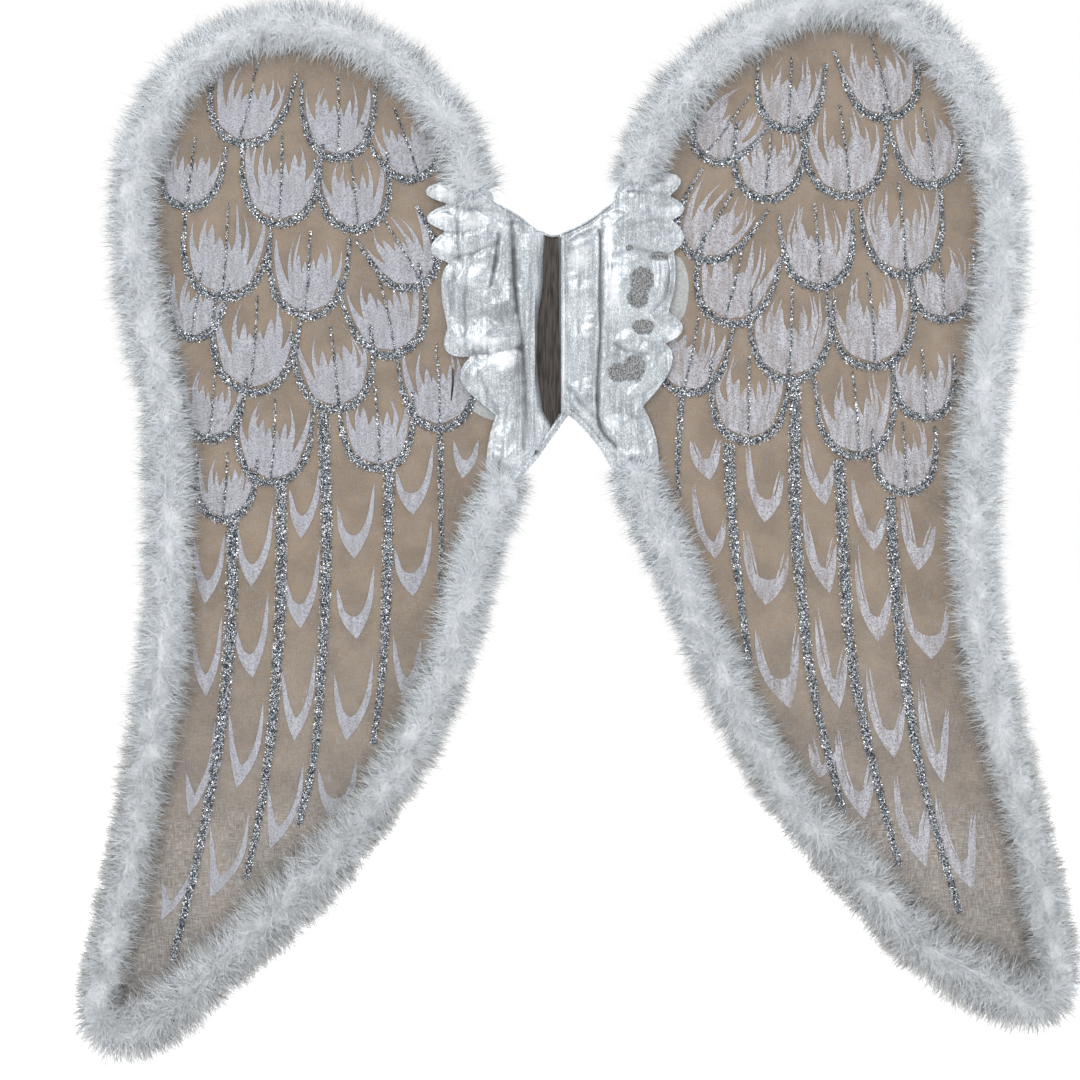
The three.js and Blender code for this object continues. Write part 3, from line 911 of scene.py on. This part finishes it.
def glitter_flakes(side, rng, centres):
    """One small tilted four-sided flake at each place, in one of four painted brightnesses, from painted
    glint to painted shade.
    """
    count = len(centres)
    seat = on_fabric(centres, 0.0)
    seat[:, 1] -= GLITTER_LIFT + 0.15 + rng.uniform(0, 0.5, count)
    tilt = rng.normal(0, 0.6, (count, 2))
    spin = rng.uniform(0, 2 * math.pi, count)
    size = rng.uniform(0.32, 0.6, count)
    corners = []
    for k in range(4):
        a = spin + k * math.pi / 2 + rng.uniform(-0.3, 0.3, count)
        u, v = np.cos(a) * size, np.sin(a) * size
        corners.append(seat + np.stack([u, u * tilt[:, 0] + v * tilt[:, 1], v], axis=1))
    corners = np.stack(corners, axis=1).reshape(-1, 3)
    faces = [tuple(range(4 * i, 4 * i + 4)) for i in range(count)]
    flakes = new_mesh(f"{side}_glitter", corners, faces, GLINT_FLAKES, smooth=False)
    # Each flake gets one of the painted brightnesses at random, from painted glint to painted shade.
    tone = rng.choice(4, count, p=[0.3, 0.2, 0.2, 0.3])
    flakes.data.polygons.foreach_set("material_index", tone.astype(np.int32))
    flakes.data.update()
    return flakes


for side in SIDES:
    rng = np.random.default_rng(21 if side == "left" else 22)
    edge = closed_offset(FABRIC_EDGE[side], -4.0)
    prints = white_prints(side, rng, edge)
    glue, centres = glitter_glue_lines(side, rng, edge)
    for made in (prints, glue, glitter_flakes(side, rng, centres)):
        attach(made, f"{side}_wing", "sheer_fabric")


# ---------------------------------------------------------------- marabou

def down_tube(side):
    """The dense middle of the marabou: a lumpy closed tube round the wire."""
    line = TRIM_LINE[side]
    count = 20
    rng = np.random.default_rng(5)
    run = np.arange(len(line))[:, None] * TRIM_STEP
    turn = np.arange(count)[None] * 2 * math.pi / count
    lump = 0.9 * np.sin(run / 9.0 + 1.7 * np.sin(run / 31.0) + 2 * turn)
    lump = lump + 0.8 * np.sin(run / 5.3 - 3 * turn + 1.1 * np.sin(run / 17.0))
    lump = lump + rng.normal(0, 0.25, lump.shape)
    radius = 12.0 + lump
    closing = np.minimum(run, run[::-1])
    radius = radius * (0.12 + 0.88 * np.sqrt(ramp(closing, -1, 16)))
    along = np.gradient(line, axis=0)
    bend = np.abs(np.gradient(np.unwrap(np.arctan2(along[:, 1], along[:, 0])))) / TRIM_STEP
    bend = np.convolve(bend, np.full(7, 1 / 7), "same")
    radius = np.minimum(radius, 0.75 / np.maximum(bend, 1e-3)[:, None])
    sections = np.stack([radius * np.cos(turn), radius * np.sin(turn)], axis=2)
    return tube(f"{side}_marabou_core", line, FABRIC_Y, sections, CORE)


def barb_draws(line, part, rng):
    """The barbs of one length of the marabou, tuft by tuft: each one's place along the line, angle round
    it, sweep along it, curl round it, and reach."""
    low, high = part * (len(line) - 1) / TRIM_PARTS, (part + 1) * (len(line) - 1) / TRIM_PARTS
    tufts = int((high - low) * TRIM_STEP * BARBS_PER_MM / TUFT)
    at = rng.uniform(low, high, tufts)
    angle = rng.uniform(0, 2 * math.pi, tufts)
    sweep = rng.normal(0.1, 0.4, tufts) + 0.3 * np.sin(at * 0.21 + 2.0 * np.sin(at * 0.047))
    sweep += 0.9 * np.exp((at - len(line)) * TRIM_STEP / 9) - 0.9 * np.exp(-at * TRIM_STEP / 9)
    curl = rng.normal(0, 0.4, tufts)
    reach = rng.uniform(11.5, 16.0, tufts) * (1 + 0.07 * np.sin(at * 0.13) + 0.05 * np.sin(at * 0.37 + 1))
    mine = np.repeat(np.arange(tufts), TUFT)
    count = len(mine)
    at = np.clip(at[mine] + rng.normal(0, 0.8, count), 0, len(line) - 1.001)
    angle = angle[mine] + rng.normal(0, 0.24, count)
    sweep = sweep[mine] + rng.normal(0, 0.28, count)
    comb = -np.tanh(2.5 * np.cos(angle)) * np.tanh(2.5 * np.sin(angle))
    curl = curl[mine] + rng.normal(0, 0.28, count) + 0.5 * comb
    reach = reach[mine] * np.clip(rng.normal(0.88, 0.26, count), 0.4, 1.45)
    return at, angle, sweep, curl, reach


def barb_strips(root, start, end, reach, radial, rng):
    """Each barb as a tapered strip that leaves its root along start and bends towards end, and the
    normals that light it as part of a soft round band."""
    count = len(root)
    t = np.array([0.0, 0.4, 0.75, 1.0])[None, :, None]
    taper = np.array([1.0, 0.9, 0.55, 0.0])[None, :, None]
    bent = t * start[:, None] + t * t / 2 * (end - start)[:, None]
    spine = root[:, None] + reach[:, None, None] * bent
    proud = np.maximum(FABRIC_Y - DOWN_DEPTH - spine[..., 1], 0.0)
    spine[..., 1] += proud - 7.5 * np.tanh(proud / 7.5)
    across = unit(np.cross(start + end, radial + rng.normal(0, 0.4, (count, 3))))
    width = rng.uniform(0.1, 0.2, count)[:, None, None] * taper
    rows = np.stack([spine - across[:, None] * width, spine + across[:, None] * width], axis=2)
    flat_normals = unit(np.cross(rows[:, 0, 1] - rows[:, 0, 0], rows[:, 1, 0] - rows[:, 0, 0]))
    inward = (flat_normals * radial).sum(1) < 0
    rows[inward] = rows[inward][:, :, ::-1]
    flat_normals[inward] *= -1
    return rows, unit(radial + 0.2 * flat_normals)


def barb_shades(z, cos, sin, rng):
    """Which tone of down each barb has: painted shade at the band's rims and on its back half, and darker
    towards the wing's tip.
    """
    # Painted shade: barbs at the band's edges and on its back half take darker tones.
    rim = np.clip(np.abs(cos) ** 3 + 0.25 * (sin < 0), 0, 1)
    tone = 1.1 * rim + np.repeat(rng.normal(0.5, 0.45, len(z) // TUFT), TUFT)
    tone = tone + rng.normal(0, 0.5, len(z)) + ramp(-z, 170, 380)
    return np.clip(tone, 0, len(DOWN) - 1).astype(int)


def down_barbs(side, part):
    """One length of the marabou's barbs, in tufts that sweep out towards both edges of the band."""
    rng = np.random.default_rng({"left": 150, "right": 100}[side] + part)
    line = TRIM_LINE[side]
    at, angle, sweep, curl, reach = barb_draws(line, part, rng)
    i = at.astype(int)
    out = outward(line)[i]
    reach = reach * (1 + 0.42 * ramp(-line[i, 1], 300, 440) * (np.abs(out[:, 0]) < 0.93))
    part_way = (at - i)[:, None]
    centre = line[i] * (1 - part_way) + line[i + 1] * part_way
    tangent, normal = upright(unit(line[i + 1] - line[i]), 0.0), upright(out, 0.0)
    front = np.array([0.0, -1.0, 0.0])
    cos, sin = np.cos(angle)[:, None], np.sin(angle)[:, None]
    radial = cos * normal + sin * front
    around = -sin * normal + cos * front
    root = upright(centre, FABRIC_Y) + radial * rng.uniform(8.5, 12.5, len(at))[:, None]
    stand = 0.45 + 0.75 * np.abs(cos)
    start = unit(stand * radial + 0.35 * sweep[:, None] * tangent + 0.35 * curl[:, None] * around)
    end = stand * 0.6 * radial + sweep[:, None] * tangent + curl[:, None] * around
    end = unit(end + rng.normal(0, 0.38, (len(at), 3)))
    rows, normals = barb_strips(root, start, end, reach, radial, rng)
    shades = barb_shades(line[i, 1], cos[:, 0], sin[:, 0], rng)
    return new_strips(f"{side}_marabou_{part + 1}", rows, DOWN, shades, normals)


for side in SIDES:
    attach(down_tube(side), f"{side}_wing", "marabou", f"{side}_marabou_trim")
    for part in range(TRIM_PARTS):
        attach(down_barbs(side, part), f"{side}_wing", "marabou")


# ---------------------------------------------------------------- centre panel

# Creases across the covers: the line they follow, half width, and depth (below zero stands out).
CREASES = {
    "left": [
        ([(-37, 68), (-38, 56), (-43, 28)], 1.7, 2.6), ([(-34, 72), (-34, 50), (-38, 30)], 2.8, -1.5),
        ([(-27, 76), (-26, 45), (-23, 12), (-19, -20), (-17, -60), (-19, -92)], 2.6, 2.3),
        ([(-21, 74), (-19, 30), (-15, -10), (-13, -60)], 2.4, -1.3),
        ([(-68, 92), (-68, 70), (-66, 48)], 1.7, 1.7), ([(-78, 69), (-64, 68), (-50, 72)], 1.9, 1.5),
        ([(-80, 90), (-66, 88), (-52, 86)], 1.9, 1.4), ([(-70, 50), (-56, 53), (-38, 61)], 2.2, 1.6),
        ([(-60, 40), (-63, 12), (-62, -14)], 2.2, 1.0), ([(-58, -22), (-42, -21), (-20, -17)], 2.4, 2.0),
        ([(-58, -8), (-42, -10), (-24, -6)], 4.0, -1.2), ([(-51, -36), (-46, -50), (-37, -66)], 2.0, 1.3),
        ([(-33, -72), (-34, -92), (-38, -112)], 2.2, 1.2),
    ],
    "right": [
        ([(39, 70), (39, 0), (39, -76), (51, -91)], 1.7, 4.4), ([(48, 80), (48, 36)], 1.3, 1.0),
        ([(44, 76), (44, 10)], 2.6, -1.0), ([(86, 97), (74, 99), (60, 100)], 1.9, 1.2),
        ([(90, 78), (76, 78), (62, 74)], 1.9, 1.2), ([(92, 54), (80, 54), (66, 57)], 2.0, 1.4),
        ([(50, -14), (60, -20), (74, -22)], 2.4, 1.6), ([(16, -48), (30, -64), (45, -79)], 2.2, 1.4),
        ([(88, -12), (80, -14), (70, -12)], 1.8, 1.0), ([(66, -66), (70, -88), (76, -108)], 2.4, 1.2),
    ],
}
# Rubbed patches of the right cover: x, z and the two half sizes.
RUBBED_SPOTS = [(70, 33, 9, 10), (67, 20, 8, 8.5), (71, -2, 8.5, 6), (64, -33, 9, 10), (53, -36, 9, 7),
                (83, 51, 8, 3.5), (61, 57, 3, 2.5)]


def cover_y(side, points, from_edge):
    """The front face of a cover: sewn down thin at its edge, swollen between, with creases."""
    x, z = points.T
    seed = 41 if side == "left" else 42
    puff = 1.2 + 4.8 * ramp(from_edge, 0.5, 14)
    puff = puff + 0.35 * ripple(x, z * 0.45, seed, 14, 40, 17) * ramp(from_edge, 2, 8)
    inner = 2.6 * ramp(-np.abs(x), -16, -10) * ramp(-from_edge, -7, 0)
    return -6.4 - np.maximum(puff + inner, 0.5)


def from_crease(points, line, pitch=1.0):
    """How far each point is from a crease."""
    return distance(points, even(smooth_line(line, 6), pitch), closed=False)


def crease_depth(side, points, from_edge):
    """How far each point of the settled cover is drawn back by a crease or pushed out by a fold."""
    drawn = 0.4 * np.exp(-((from_edge - 2.6) / 0.9) ** 2)
    for line, half, depth in CREASES[side]:
        drawn = drawn + depth * np.exp(-(from_crease(points, line) / half) ** 2)
    return drawn


def swell(piece, pinned, cap):
    """Lets the cloth settle over its wadding: slack cloth under light pressure, sewn down where pinned."""
    before = np.array([v.co for v in piece.data.vertices])
    pins = piece.vertex_groups.new(name="sewn")
    pins.add([int(i) for i in np.flatnonzero(pinned)], 1.0, "REPLACE")
    cloth = piece.modifiers.new("cloth", "CLOTH")
    cloth.settings.vertex_group_mass = "sewn"
    cloth.settings.effector_weights.gravity = 0
    cloth.settings.use_pressure = True
    cloth.settings.uniform_pressure_force = 4.0
    cloth.settings.shrink_min = -0.045
    cloth.settings.tension_stiffness = 20
    cloth.settings.compression_stiffness = 20
    cloth.settings.bending_stiffness = 0.15
    cloth.settings.quality = 6
    cloth.collision_settings.use_collision = False
    cloth.point_cache.frame_start, cloth.point_cache.frame_end = 1, 20
    scene = bpy.context.scene
    for number in range(1, 21):
        scene.frame_set(number)
    apply_modifiers(piece)
    scene.frame_set(1)
    piece.vertex_groups.clear()
    after = np.array([v.co for v in piece.data.vertices])
    moved = after - before
    length = np.linalg.norm(moved, axis=1, keepdims=True)
    moved *= np.minimum(1, cap * MM / np.maximum(length, 1e-9))
    piece.data.vertices.foreach_set("co", (before + moved).astype(np.float32).ravel())
    piece.data.update()


FOIL = {"left": LAME, "right": foil_cloth("silver_lame_rubbed", RUBBED_SPOTS)}
# Soft painted shade (above zero) and painted highlight (below zero) zones of each cover: x, z, half sizes,
# amount.
SHADE_AND_HIGHLIGHT_ZONES = {
    "left": [(-39, 8, 15, 10, 0.5), (-40, 46, 6, 9, 0.35), (-25, 34, 4, 40, 0.5),
             (-21, -38, 4, 30, 0.45), (-26, -33, 6, 10, 0.35), (-62, 14, 4, 22, 0.25),
             (-13, 30, 3, 36, 0.3), (-34, -26, 12, 9, -0.9), (-50, -12, 20, 4, -0.5),
             (-56, 78, 12, 8, -0.5), (-78, 98, 8, 6, -0.6), (-80, 80, 7, 6, -0.5), (-78, 58, 7, 7, -0.5),
             (-58, 36, 10, 8, -0.35), (-7, 40, 3, 40, -0.5), (-36, -84, 8, 10, -0.3)],
    "right": [(46, 62, 4, 22, -0.9), (48, 30, 5, 18, -0.7), (24, 50, 9, 10, -0.5), (47, -74, 6, 7, -0.6),
              (92, 108, 7, 5, -0.5), (94, 86, 6, 5, -0.4), (94, -8, 5, 6, -0.7), (33, 0, 3, 60, 0.2),
              (90, 30, 2, 14, 0.5), (56, -64, 8, 12, 0.2), (30, -56, 10, 6, 0.25), (12, -20, 2, 40, -0.4),
              (51, -24, 4, 9, 0.35)],
}


def painted_shade_and_highlights(side, points):
    """Each point's "tone" on a cover: painted shade in its creases and dull zones, painted highlights in
    its bright zones.
    """
    x, z = points.T
    tone = np.zeros(len(points))
    # Painted shade along the deep creases.
    for line, half, depth in CREASES[side]:
        if depth > 0:
            near = from_crease(points, line) / (0.85 * half)
            tone += min(depth / 2.6, 1.3) * 0.8 * np.exp(-near ** 2)
    wander = 0.25 * ripple(x, z, 43, 16, 20, 7)
    for zone_x, zone_z, across, tall, amount in SHADE_AND_HIGHLIGHT_ZONES[side]:
        reach = np.hypot((x - zone_x) / across, (z - zone_z) / tall)
        tone += amount * ramp(-reach - wander, -1.25, -0.35)
    return np.clip(tone, -1, 1)


def panel(outline, step, pitch):
    """An outline filled with triangles: its even edge, the points, the triangles, and how far each
    point is from the edge."""
    dense = even(np.vstack([outline, outline[:1]]), step)[:-1]
    points, triangles = fill(dense, pitch)
    return dense, points, triangles, distance(points, dense)


def cover(side):
    """The silver front of a half panel: puffed over the wadding, sewn down and creased."""
    outline = boundary(f"{side}_feather_cover")
    _, points, triangles, from_edge = panel(outline, 1.7, 1.8)
    y = cover_y(side, points, from_edge)
    skin = new_mesh(f"{side}_silver_cover", upright(points, y), backward(triangles), [FOIL[side]])
    sewn = from_edge < 3.2
    for line, _, depth in CREASES[side]:
        if depth > 1.5:
            sewn |= from_crease(points, line, 2.0) < 1.4
    swell(skin, sewn, 2.5)
    places = np.array([v.co for v in skin.data.vertices])
    flat = places[:, [0, 2]] / MM
    places[:, 1] += MM * crease_depth(side, flat, from_edge)
    padded_part = ramp(from_edge, 3, 10)
    over_casing = 1.9 * ramp(np.abs(flat[:, 1]), 78, 94) * (1 - padded_part)
    places[:, 1] = np.minimum(places[:, 1], -MM * (6.6 + over_casing + 3.4 * padded_part))
    skin.data.vertices.foreach_set("co", places.astype(np.float32).ravel())
    # The tone values carry the painted shade and highlights into the foil's colour.
    tone = skin.data.attributes.new("tone", "FLOAT", "POINT")
    tone.data.foreach_set("value", painted_shade_and_highlights(side, flat).astype(np.float32))
    thicken(skin, 0.6, -1.0)
    attach(skin, f"{side}_wing", "silver_lame", f"{side}_feather_cover")


def pad(side):
    """The wadding: a soft flat pad with a rounded rim, behind the cover."""
    dense, points, triangles, from_edge = panel(boundary(f"{side}_panel_padding"), 4.0, 4.5)
    swollen = np.sqrt(ramp(from_edge, 0, 7))
    front = upright(points, -7.5 - 1.1 * swollen - 0.12 * ripple(*points.T, 61, 10, 40, 14))
    back = upright(points, -7.3 + 0.5 * swollen)
    rim, count = len(dense), len(points)
    back[:rim, 1] = front[:rim, 1] + 0.3
    faces = backward(triangles) + [tuple(count + i for i in t) for t in triangles]
    faces += [(i, (i + 1) % rim, count + (i + 1) % rim, count + i) for i in range(rim)]
    made = new_mesh(f"{side}_wadding", np.vstack([front, back]), faces, [WADDING])
    attach(made, f"{side}_wing", "wadding", f"{side}_panel_padding")
    return made


def backing(side):
    """The lining towards the wearer, with soft puckers along its sewn edge. It stays flat by the fold."""
    outline = boundary(f"{side}_panel_backing")
    _, points, triangles, from_edge = panel(outline, 2.5, 4.0)
    pucker = 0.22 * ripple(*points.T, 71, 12, 26, 9) * (1 - ramp(from_edge, 2, 16))
    settled = np.maximum(ramp(from_edge, 0.5, 11), 1 - ramp(np.abs(points[:, 0]), 12, 22))
    y = -2.6 + 2.3 * settled + pucker + 0.12 * ripple(*points.T, 72, 8, 60, 25)
    cloth = new_mesh(f"{side}_lining", upright(points, np.minimum(y, -0.05)), triangles, [LINING])
    thicken(cloth, 0.6, -1.0)
    attach(cloth, f"{side}_wing", "lining", f"{side}_panel_backing")


def piping(place, body, places, across, deep, seed):
    """A rolled cloth edge that closes the layers, with slanting puckers from its stitches.

    It lies further forward and is shallower beside the fold, so that it clears the centre strip.
    """
    line = even(smooth_line(places, 8), 1.0)
    run = np.arange(len(line))[:, None]
    turn = np.arange(14)[None] * 2 * math.pi / 14
    pucker = 1 + 0.10 * np.sin(run * 2.1 + turn + 0.6 * np.sin(run * 0.31))
    pucker = pucker + np.random.default_rng(seed).normal(0, 0.02, (len(line), 14))
    if body == "centre":
        height, depth = -2.4, np.full(len(line), deep)
    else:
        beside = 1 - ramp(np.abs(line[:, 0]), 10, 17)
        height, depth = -5.2 - 1.4 * beside, deep * (1 - 0.36 * beside)
    sections = np.stack([across * pucker * np.cos(turn), depth[:, None] * pucker * np.sin(turn)], axis=2)
    made = tube(f"{place}_piping", line, height, sections, LAME)
    attach(made, body, "silver_lame", f"{place}_binding")


def inner_fold(side):
    """The cover's return from its inner edge down to the centre strip."""
    sign = SIGN[side]
    top, bottom = (71, -95) if side == "left" else (67, -67)
    rows = 64
    z = np.linspace(bottom + 1, top - 1, rows)
    if side == "left":
        foot = np.interp(z, (-95, -84, -78, -74, -70, -65, -55, -40, -20, 0, 20, 40, 71),
                         (5.0, 1.0, -2.0, -3.0, 0.5, 3.2, 5.2, 7.6, 8.9, 7.8, 5.2, 3.2, 2.6))
        foot, bulge = foot + 0.3 * np.sin(z / 6), 0.5
    else:
        foot, bulge = np.interp(z, (-64, -20, 0, 67), (9.6, 9.4, 8.3, 7.9)), 0.2
    profile = [(0.0, -8.6), (0.10, -8.4), (0.35, -7.4), (0.62, -5.6), (0.85, -3.6), (1.0, -1.5)]
    points = []
    for place, height in zip(foot, z):
        for part, y in profile:
            x = 10.8 * (1 - part) + place * part + bulge * math.sin(math.pi * part)
            points.append((sign * x, y - 0.25 * math.sin(height / 7 + 5 * part), height))
    faces = grid_faces(rows, len(profile), flip=True)
    if side == "left":
        faces = backward(faces)
    made = new_mesh(f"{side}_inner_fold", points, faces, [LAME])
    smooth = made.modifiers.new("smooth", "SUBSURF")
    smooth.levels = smooth.render_levels = 1
    apply_modifiers(made)
    thicken(made, 0.5)
    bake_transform(made)


def hinge_tape(side):
    """The narrow cloth hinge that joins the lining to the centre strip, seen in the gap from behind."""
    sign = SIGN[side]
    top, bottom = (66, -86) if side == "left" else (63, -68)
    across = (7.0, 8.0, 8.9, 9.8, 11.0)
    points = [(sign * x, -1.6 - 0.15 * math.sin(z / 3), z)
              for z in np.linspace(bottom + 1, top - 1, 40) for x in across]
    made = new_mesh(f"{side}_hinge_tape", points, grid_faces(40, len(across), flip=True), [SHADED_DARK_CLOTH])
    thicken(made, 0.5)
    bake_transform(made)


def centre_strip():
    """Ribbed cloth between the two half panels, with soft lengthwise folds, dark with painted shade of the
    valley between them.
    """
    rows, columns = 70, 33
    points = []
    for t in np.linspace(0, 1, rows):
        for x in np.linspace(-8, 8, columns):
            low, high = -81 + x * 1.375, 67.5 - x * 0.19
            z = low + (high - low) * t
            rib = 0.10 * math.sin(x * 4.2) + 0.35 * math.sin(x * 0.9 + 1.2 * math.sin(z / 24))
            points.append((x, -1.3 - rib - 0.15 * math.sin(z / 6), z))
    made = new_mesh("dark_centre_strip", points, grid_faces(rows, columns), [SHADED_DARK_CLOTH])
    thicken(made, 0.9, 1.0)
    attach(made, "centre", "dark_cloth", "centre_strip")


def facing(side, outline):
    """Pale facing cloth on the fabric that shows a little past the cover's edge."""
    points, triangles = fill(even(smooth_line(outline, 5, closed=True), 2.5), 3.0)
    made = new_mesh(f"{side}_facing_1", on_fabric(points, 0.25), backward(triangles), [FACING])
    attach(made, f"{side}_wing", "lining")


# Each rolled edge: the body it rides on, the line it follows, its half width and depth, and a seed.
PIPINGS = {
    "left_top": ("left_wing", [(-9.2, 70.9), (-23, 81), (-35.5, 88.9), (-41, 92), (-41.8, 96.6),
                               (-44.2, 101), (-49, 104.6), (-54, 106.4)], 1.0, 4.4, 81),
    "right_top": ("right_wing", [(9.8, 67.2), (29, 76.5), (43.6, 87), (49.8, 92.2), (51, 97.8),
                                 (53.8, 103), (58.6, 107.4), (63.5, 110)], 1.0, 4.4, 82),
    "left_bottom": ("left_wing", [(-25, -116), (-17, -106.5), (-9.2, -97.2)], 2.8, 4.6, 83),
    "right_bottom": ("right_wing", [(8.3, -72.6), (11, -68.6), (15, -65), (37.5, -86.5), (53, -112)],
                     2.8, 4.6, 84),
    "strip_top": ("centre", [(-8.8, 70.6), (-4, 68.6), (3, 66.6), (8.8, 67.2)], 0.9, 1.2, 85),
    "strip_bottom": ("centre", [(-9.4, -97.4), (0, -84), (9.8, -70.2)], 2.7, 1.4, 86),
}

facing("left", [(-66, -42), (-63, -56), (-54, -66), (-38, -71), (-36, -58), (-50, -40)])
facing("right", [(88, 50), (98, 51), (104, 40), (105, 22), (101, 6), (94, 0), (86, 8)])
wadding = {side: pad(side) for side in SIDES}
for side in SIDES:
    cover(side)
    backing(side)
    inner_fold(side)
    hinge_tape(side)
for place, values in PIPINGS.items():
    piping(place, *values)
centre_strip()


# ---------------------------------------------------------------- shoulder loops

# The loop's middle line [y, z], from its upper sewn end to its lower one.
STRAP_LINE = [(1.3, 41), (1.3, 57), (2.6, 64), (8, 71.5), (17, 75), (28, 76.5), (48, 74), (73, 56),
              (86, 24), (88, -8), (78, -44), (52, -66), (30, -65.5), (17.5, -61), (8, -57),
              (2.6, -50), (1.3, -43), (1.3, -27)]
STRAP_X = 44
STRAP_WIDTH = 20


def elastic(side):
    """One flat elastic band, sewn to the lining at both ends."""
    line = even(smooth_line(STRAP_LINE, 8), 2.5)
    across = np.linspace(-1, 1, 11)
    run = np.arange(len(line)) * 2.5
    width = STRAP_WIDTH / 2 * (1 - 0.02 * np.sin(run / 9) ** 2)
    middle = SIGN[side] * STRAP_X
    points = []
    for (y, z), half, away, (ny, nz) in zip(line, width, run, outward(line)):
        for a in across:
            crown = 0.25 * (1 - a * a) + 0.06 * math.sin(away / 1.9 + 2 * a)
            points.append((middle + a * half, y + ny * crown, z + nz * crown))
    band = new_mesh(f"{side}_elastic_loop", points, grid_faces(len(line), len(across)), [ELASTIC])
    thicken(band, 1.4)
    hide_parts(f"{side}_shoulder_strap", f"{side}_strap_end_top", f"{side}_strap_end_bottom")
    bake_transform(band)


def stitches(name, side, corners, y):
    """A row of lockstitches along straight runs between the corners [x, z]."""
    spacing = 2.6
    points, faces = [], []
    for a, b in zip(corners, corners[1:]):
        a, b = np.array(a, float), np.array(b, float)
        length = np.linalg.norm(b - a)
        along = (b - a) / length
        aside = np.array([along[1], -along[0]])
        for i in range(int(length / spacing)):
            middle = a + along * (i + 0.5) * spacing
            start = len(points)
            for part, radius in ((-0.42, 0.05), (-0.3, 0.22), (0.0, 0.27), (0.3, 0.22), (0.42, 0.05)):
                for k in range(6):
                    turn = k * math.pi / 3
                    x, z = middle + along * part * spacing + aside * radius * math.cos(turn)
                    points.append((x, y + radius * math.sin(turn), z))
            for row in range(start, start + 24, 6):
                faces += [(row + k, row + (k + 1) % 6, row + 6 + (k + 1) % 6, row + 6 + k)
                          for k in range(6)]
    attach(new_mesh(f"{side}_{name}", points, faces, [THREAD]), f"{side}_wing", "hem_tape")


def sewn_patch(side, place, z):
    """A small tape patch over a strap's sewn end, held by a box stitch with a cross in it."""
    x = SIGN[side] * STRAP_X

    def box(wide, tall):
        corners = ((-wide, -tall), (wide, -tall), (wide, tall), (-wide, tall))
        return np.array([(x + across, z + up) for across, up in corners])

    _, points, triangles, from_edge = panel(box(13.0, 9.0), 1.5, 1.8)
    y = 3.0 + 0.25 * ramp(from_edge, 0, 1.2) - 0.18 * np.exp(-((from_edge - 2.5) / 0.7) ** 2)
    patch = new_mesh(f"{side}_{place}_patch", upright(points, y), triangles, [TAPE])
    thicken(patch, 0.8, -1.0)
    attach(patch, f"{side}_wing", "hem_tape", f"{side}_strap_patch_{place}")
    low_left, low_right, high_right, high_left = box(10.5, 6.5)
    round_trip = [low_left, low_right, high_right, high_left, low_left, high_right]
    stitches(f"{place}_patch_stitches", side, round_trip, 3.3)
    stitches(f"{place}_patch_cross", side, [high_left, low_right], 3.3)


for side in SIDES:
    elastic(side)
    sewn_patch(side, "top", 50)
    sewn_patch(side, "bottom", -35)
    for node, material in (("wire_frame", WIRE), ("wire_ferrule", FERRULE), ("edge_casing", TAPE)):
        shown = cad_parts[f"{side}_{node}"]
        shown.data.materials.clear()
        shown.data.materials.append(material)


# ---------------------------------------------------------------- stage

scene = bpy.context.scene
scene.view_settings.view_transform = "Standard"
bpy.ops.mesh.primitive_plane_add(size=60, location=(0, 0, -0.62))
floor = bpy.context.object
floor.name = "floor"
floor.data.materials.append(plain_floor())

world = bpy.data.worlds.new("studio")
scene.world = world
world.use_nodes = True
sky = world.node_tree
direction = sky.nodes.new("ShaderNodeSeparateXYZ")
sky.links.new(sky.nodes.new("ShaderNodeTexCoord").outputs["Generated"], direction.inputs[0])
room = sky.nodes.new("ShaderNodeMapRange")
set_range(room, -0.95, -0.55, 0.42, 1.0)
sky.links.new(direction.outputs["Y"], room.inputs["Value"])
backdrop = sky.nodes.new("ShaderNodeMath")
backdrop.operation = "MAXIMUM"
sky.links.new(room.outputs["Result"], backdrop.inputs[0])
sky.links.new(sky.nodes.new("ShaderNodeLightPath").outputs["Is Camera Ray"], backdrop.inputs[1])
sky.links.new(backdrop.outputs[0], sky.nodes["Background"].inputs["Strength"])
sky.nodes["Background"].inputs["Color"].default_value = (1, 1, 1, 1)


def soft_light(name, place, aim, size, watts):
    """A round area light at a place, aimed at a point. These lengths are metres."""
    data = bpy.data.lights.new(name, "AREA")
    data.shape = "DISK"
    data.size = size
    data.energy = watts
    lamp = bpy.data.objects.new(name, data)
    lamp.location = place
    lamp.rotation_euler = (Vector(aim) - Vector(place)).to_track_quat("-Z", "Y").to_euler()
    scene.collection.objects.link(lamp)


soft_light("key", (-1.5, -2.6, 1.9), (0, 0, -0.15), 1.8, 57)
soft_light("side", (2.4, -1.3, 0.6), (0, 0, -0.1), 0.8, 14)
soft_light("right_edge", (2.9, 0.5, 0.4), (0.3, 0, -0.15), 1.2, 14)
soft_light("back", (0.3, 2.9, 0.9), (0, 0, -0.15), 2.0, 38)

camera = bpy.data.objects.new("camera", bpy.data.cameras.new("camera"))
camera.data.sensor_width = 36
camera.data.lens = 110
picture_width = 0.81
away = picture_width * camera.data.lens / camera.data.sensor_width
camera.location = (-0.006, -away, -0.161)
camera.rotation_euler = (math.radians(90), 0, 0)
scene.collection.objects.link(camera)
scene.camera = camera
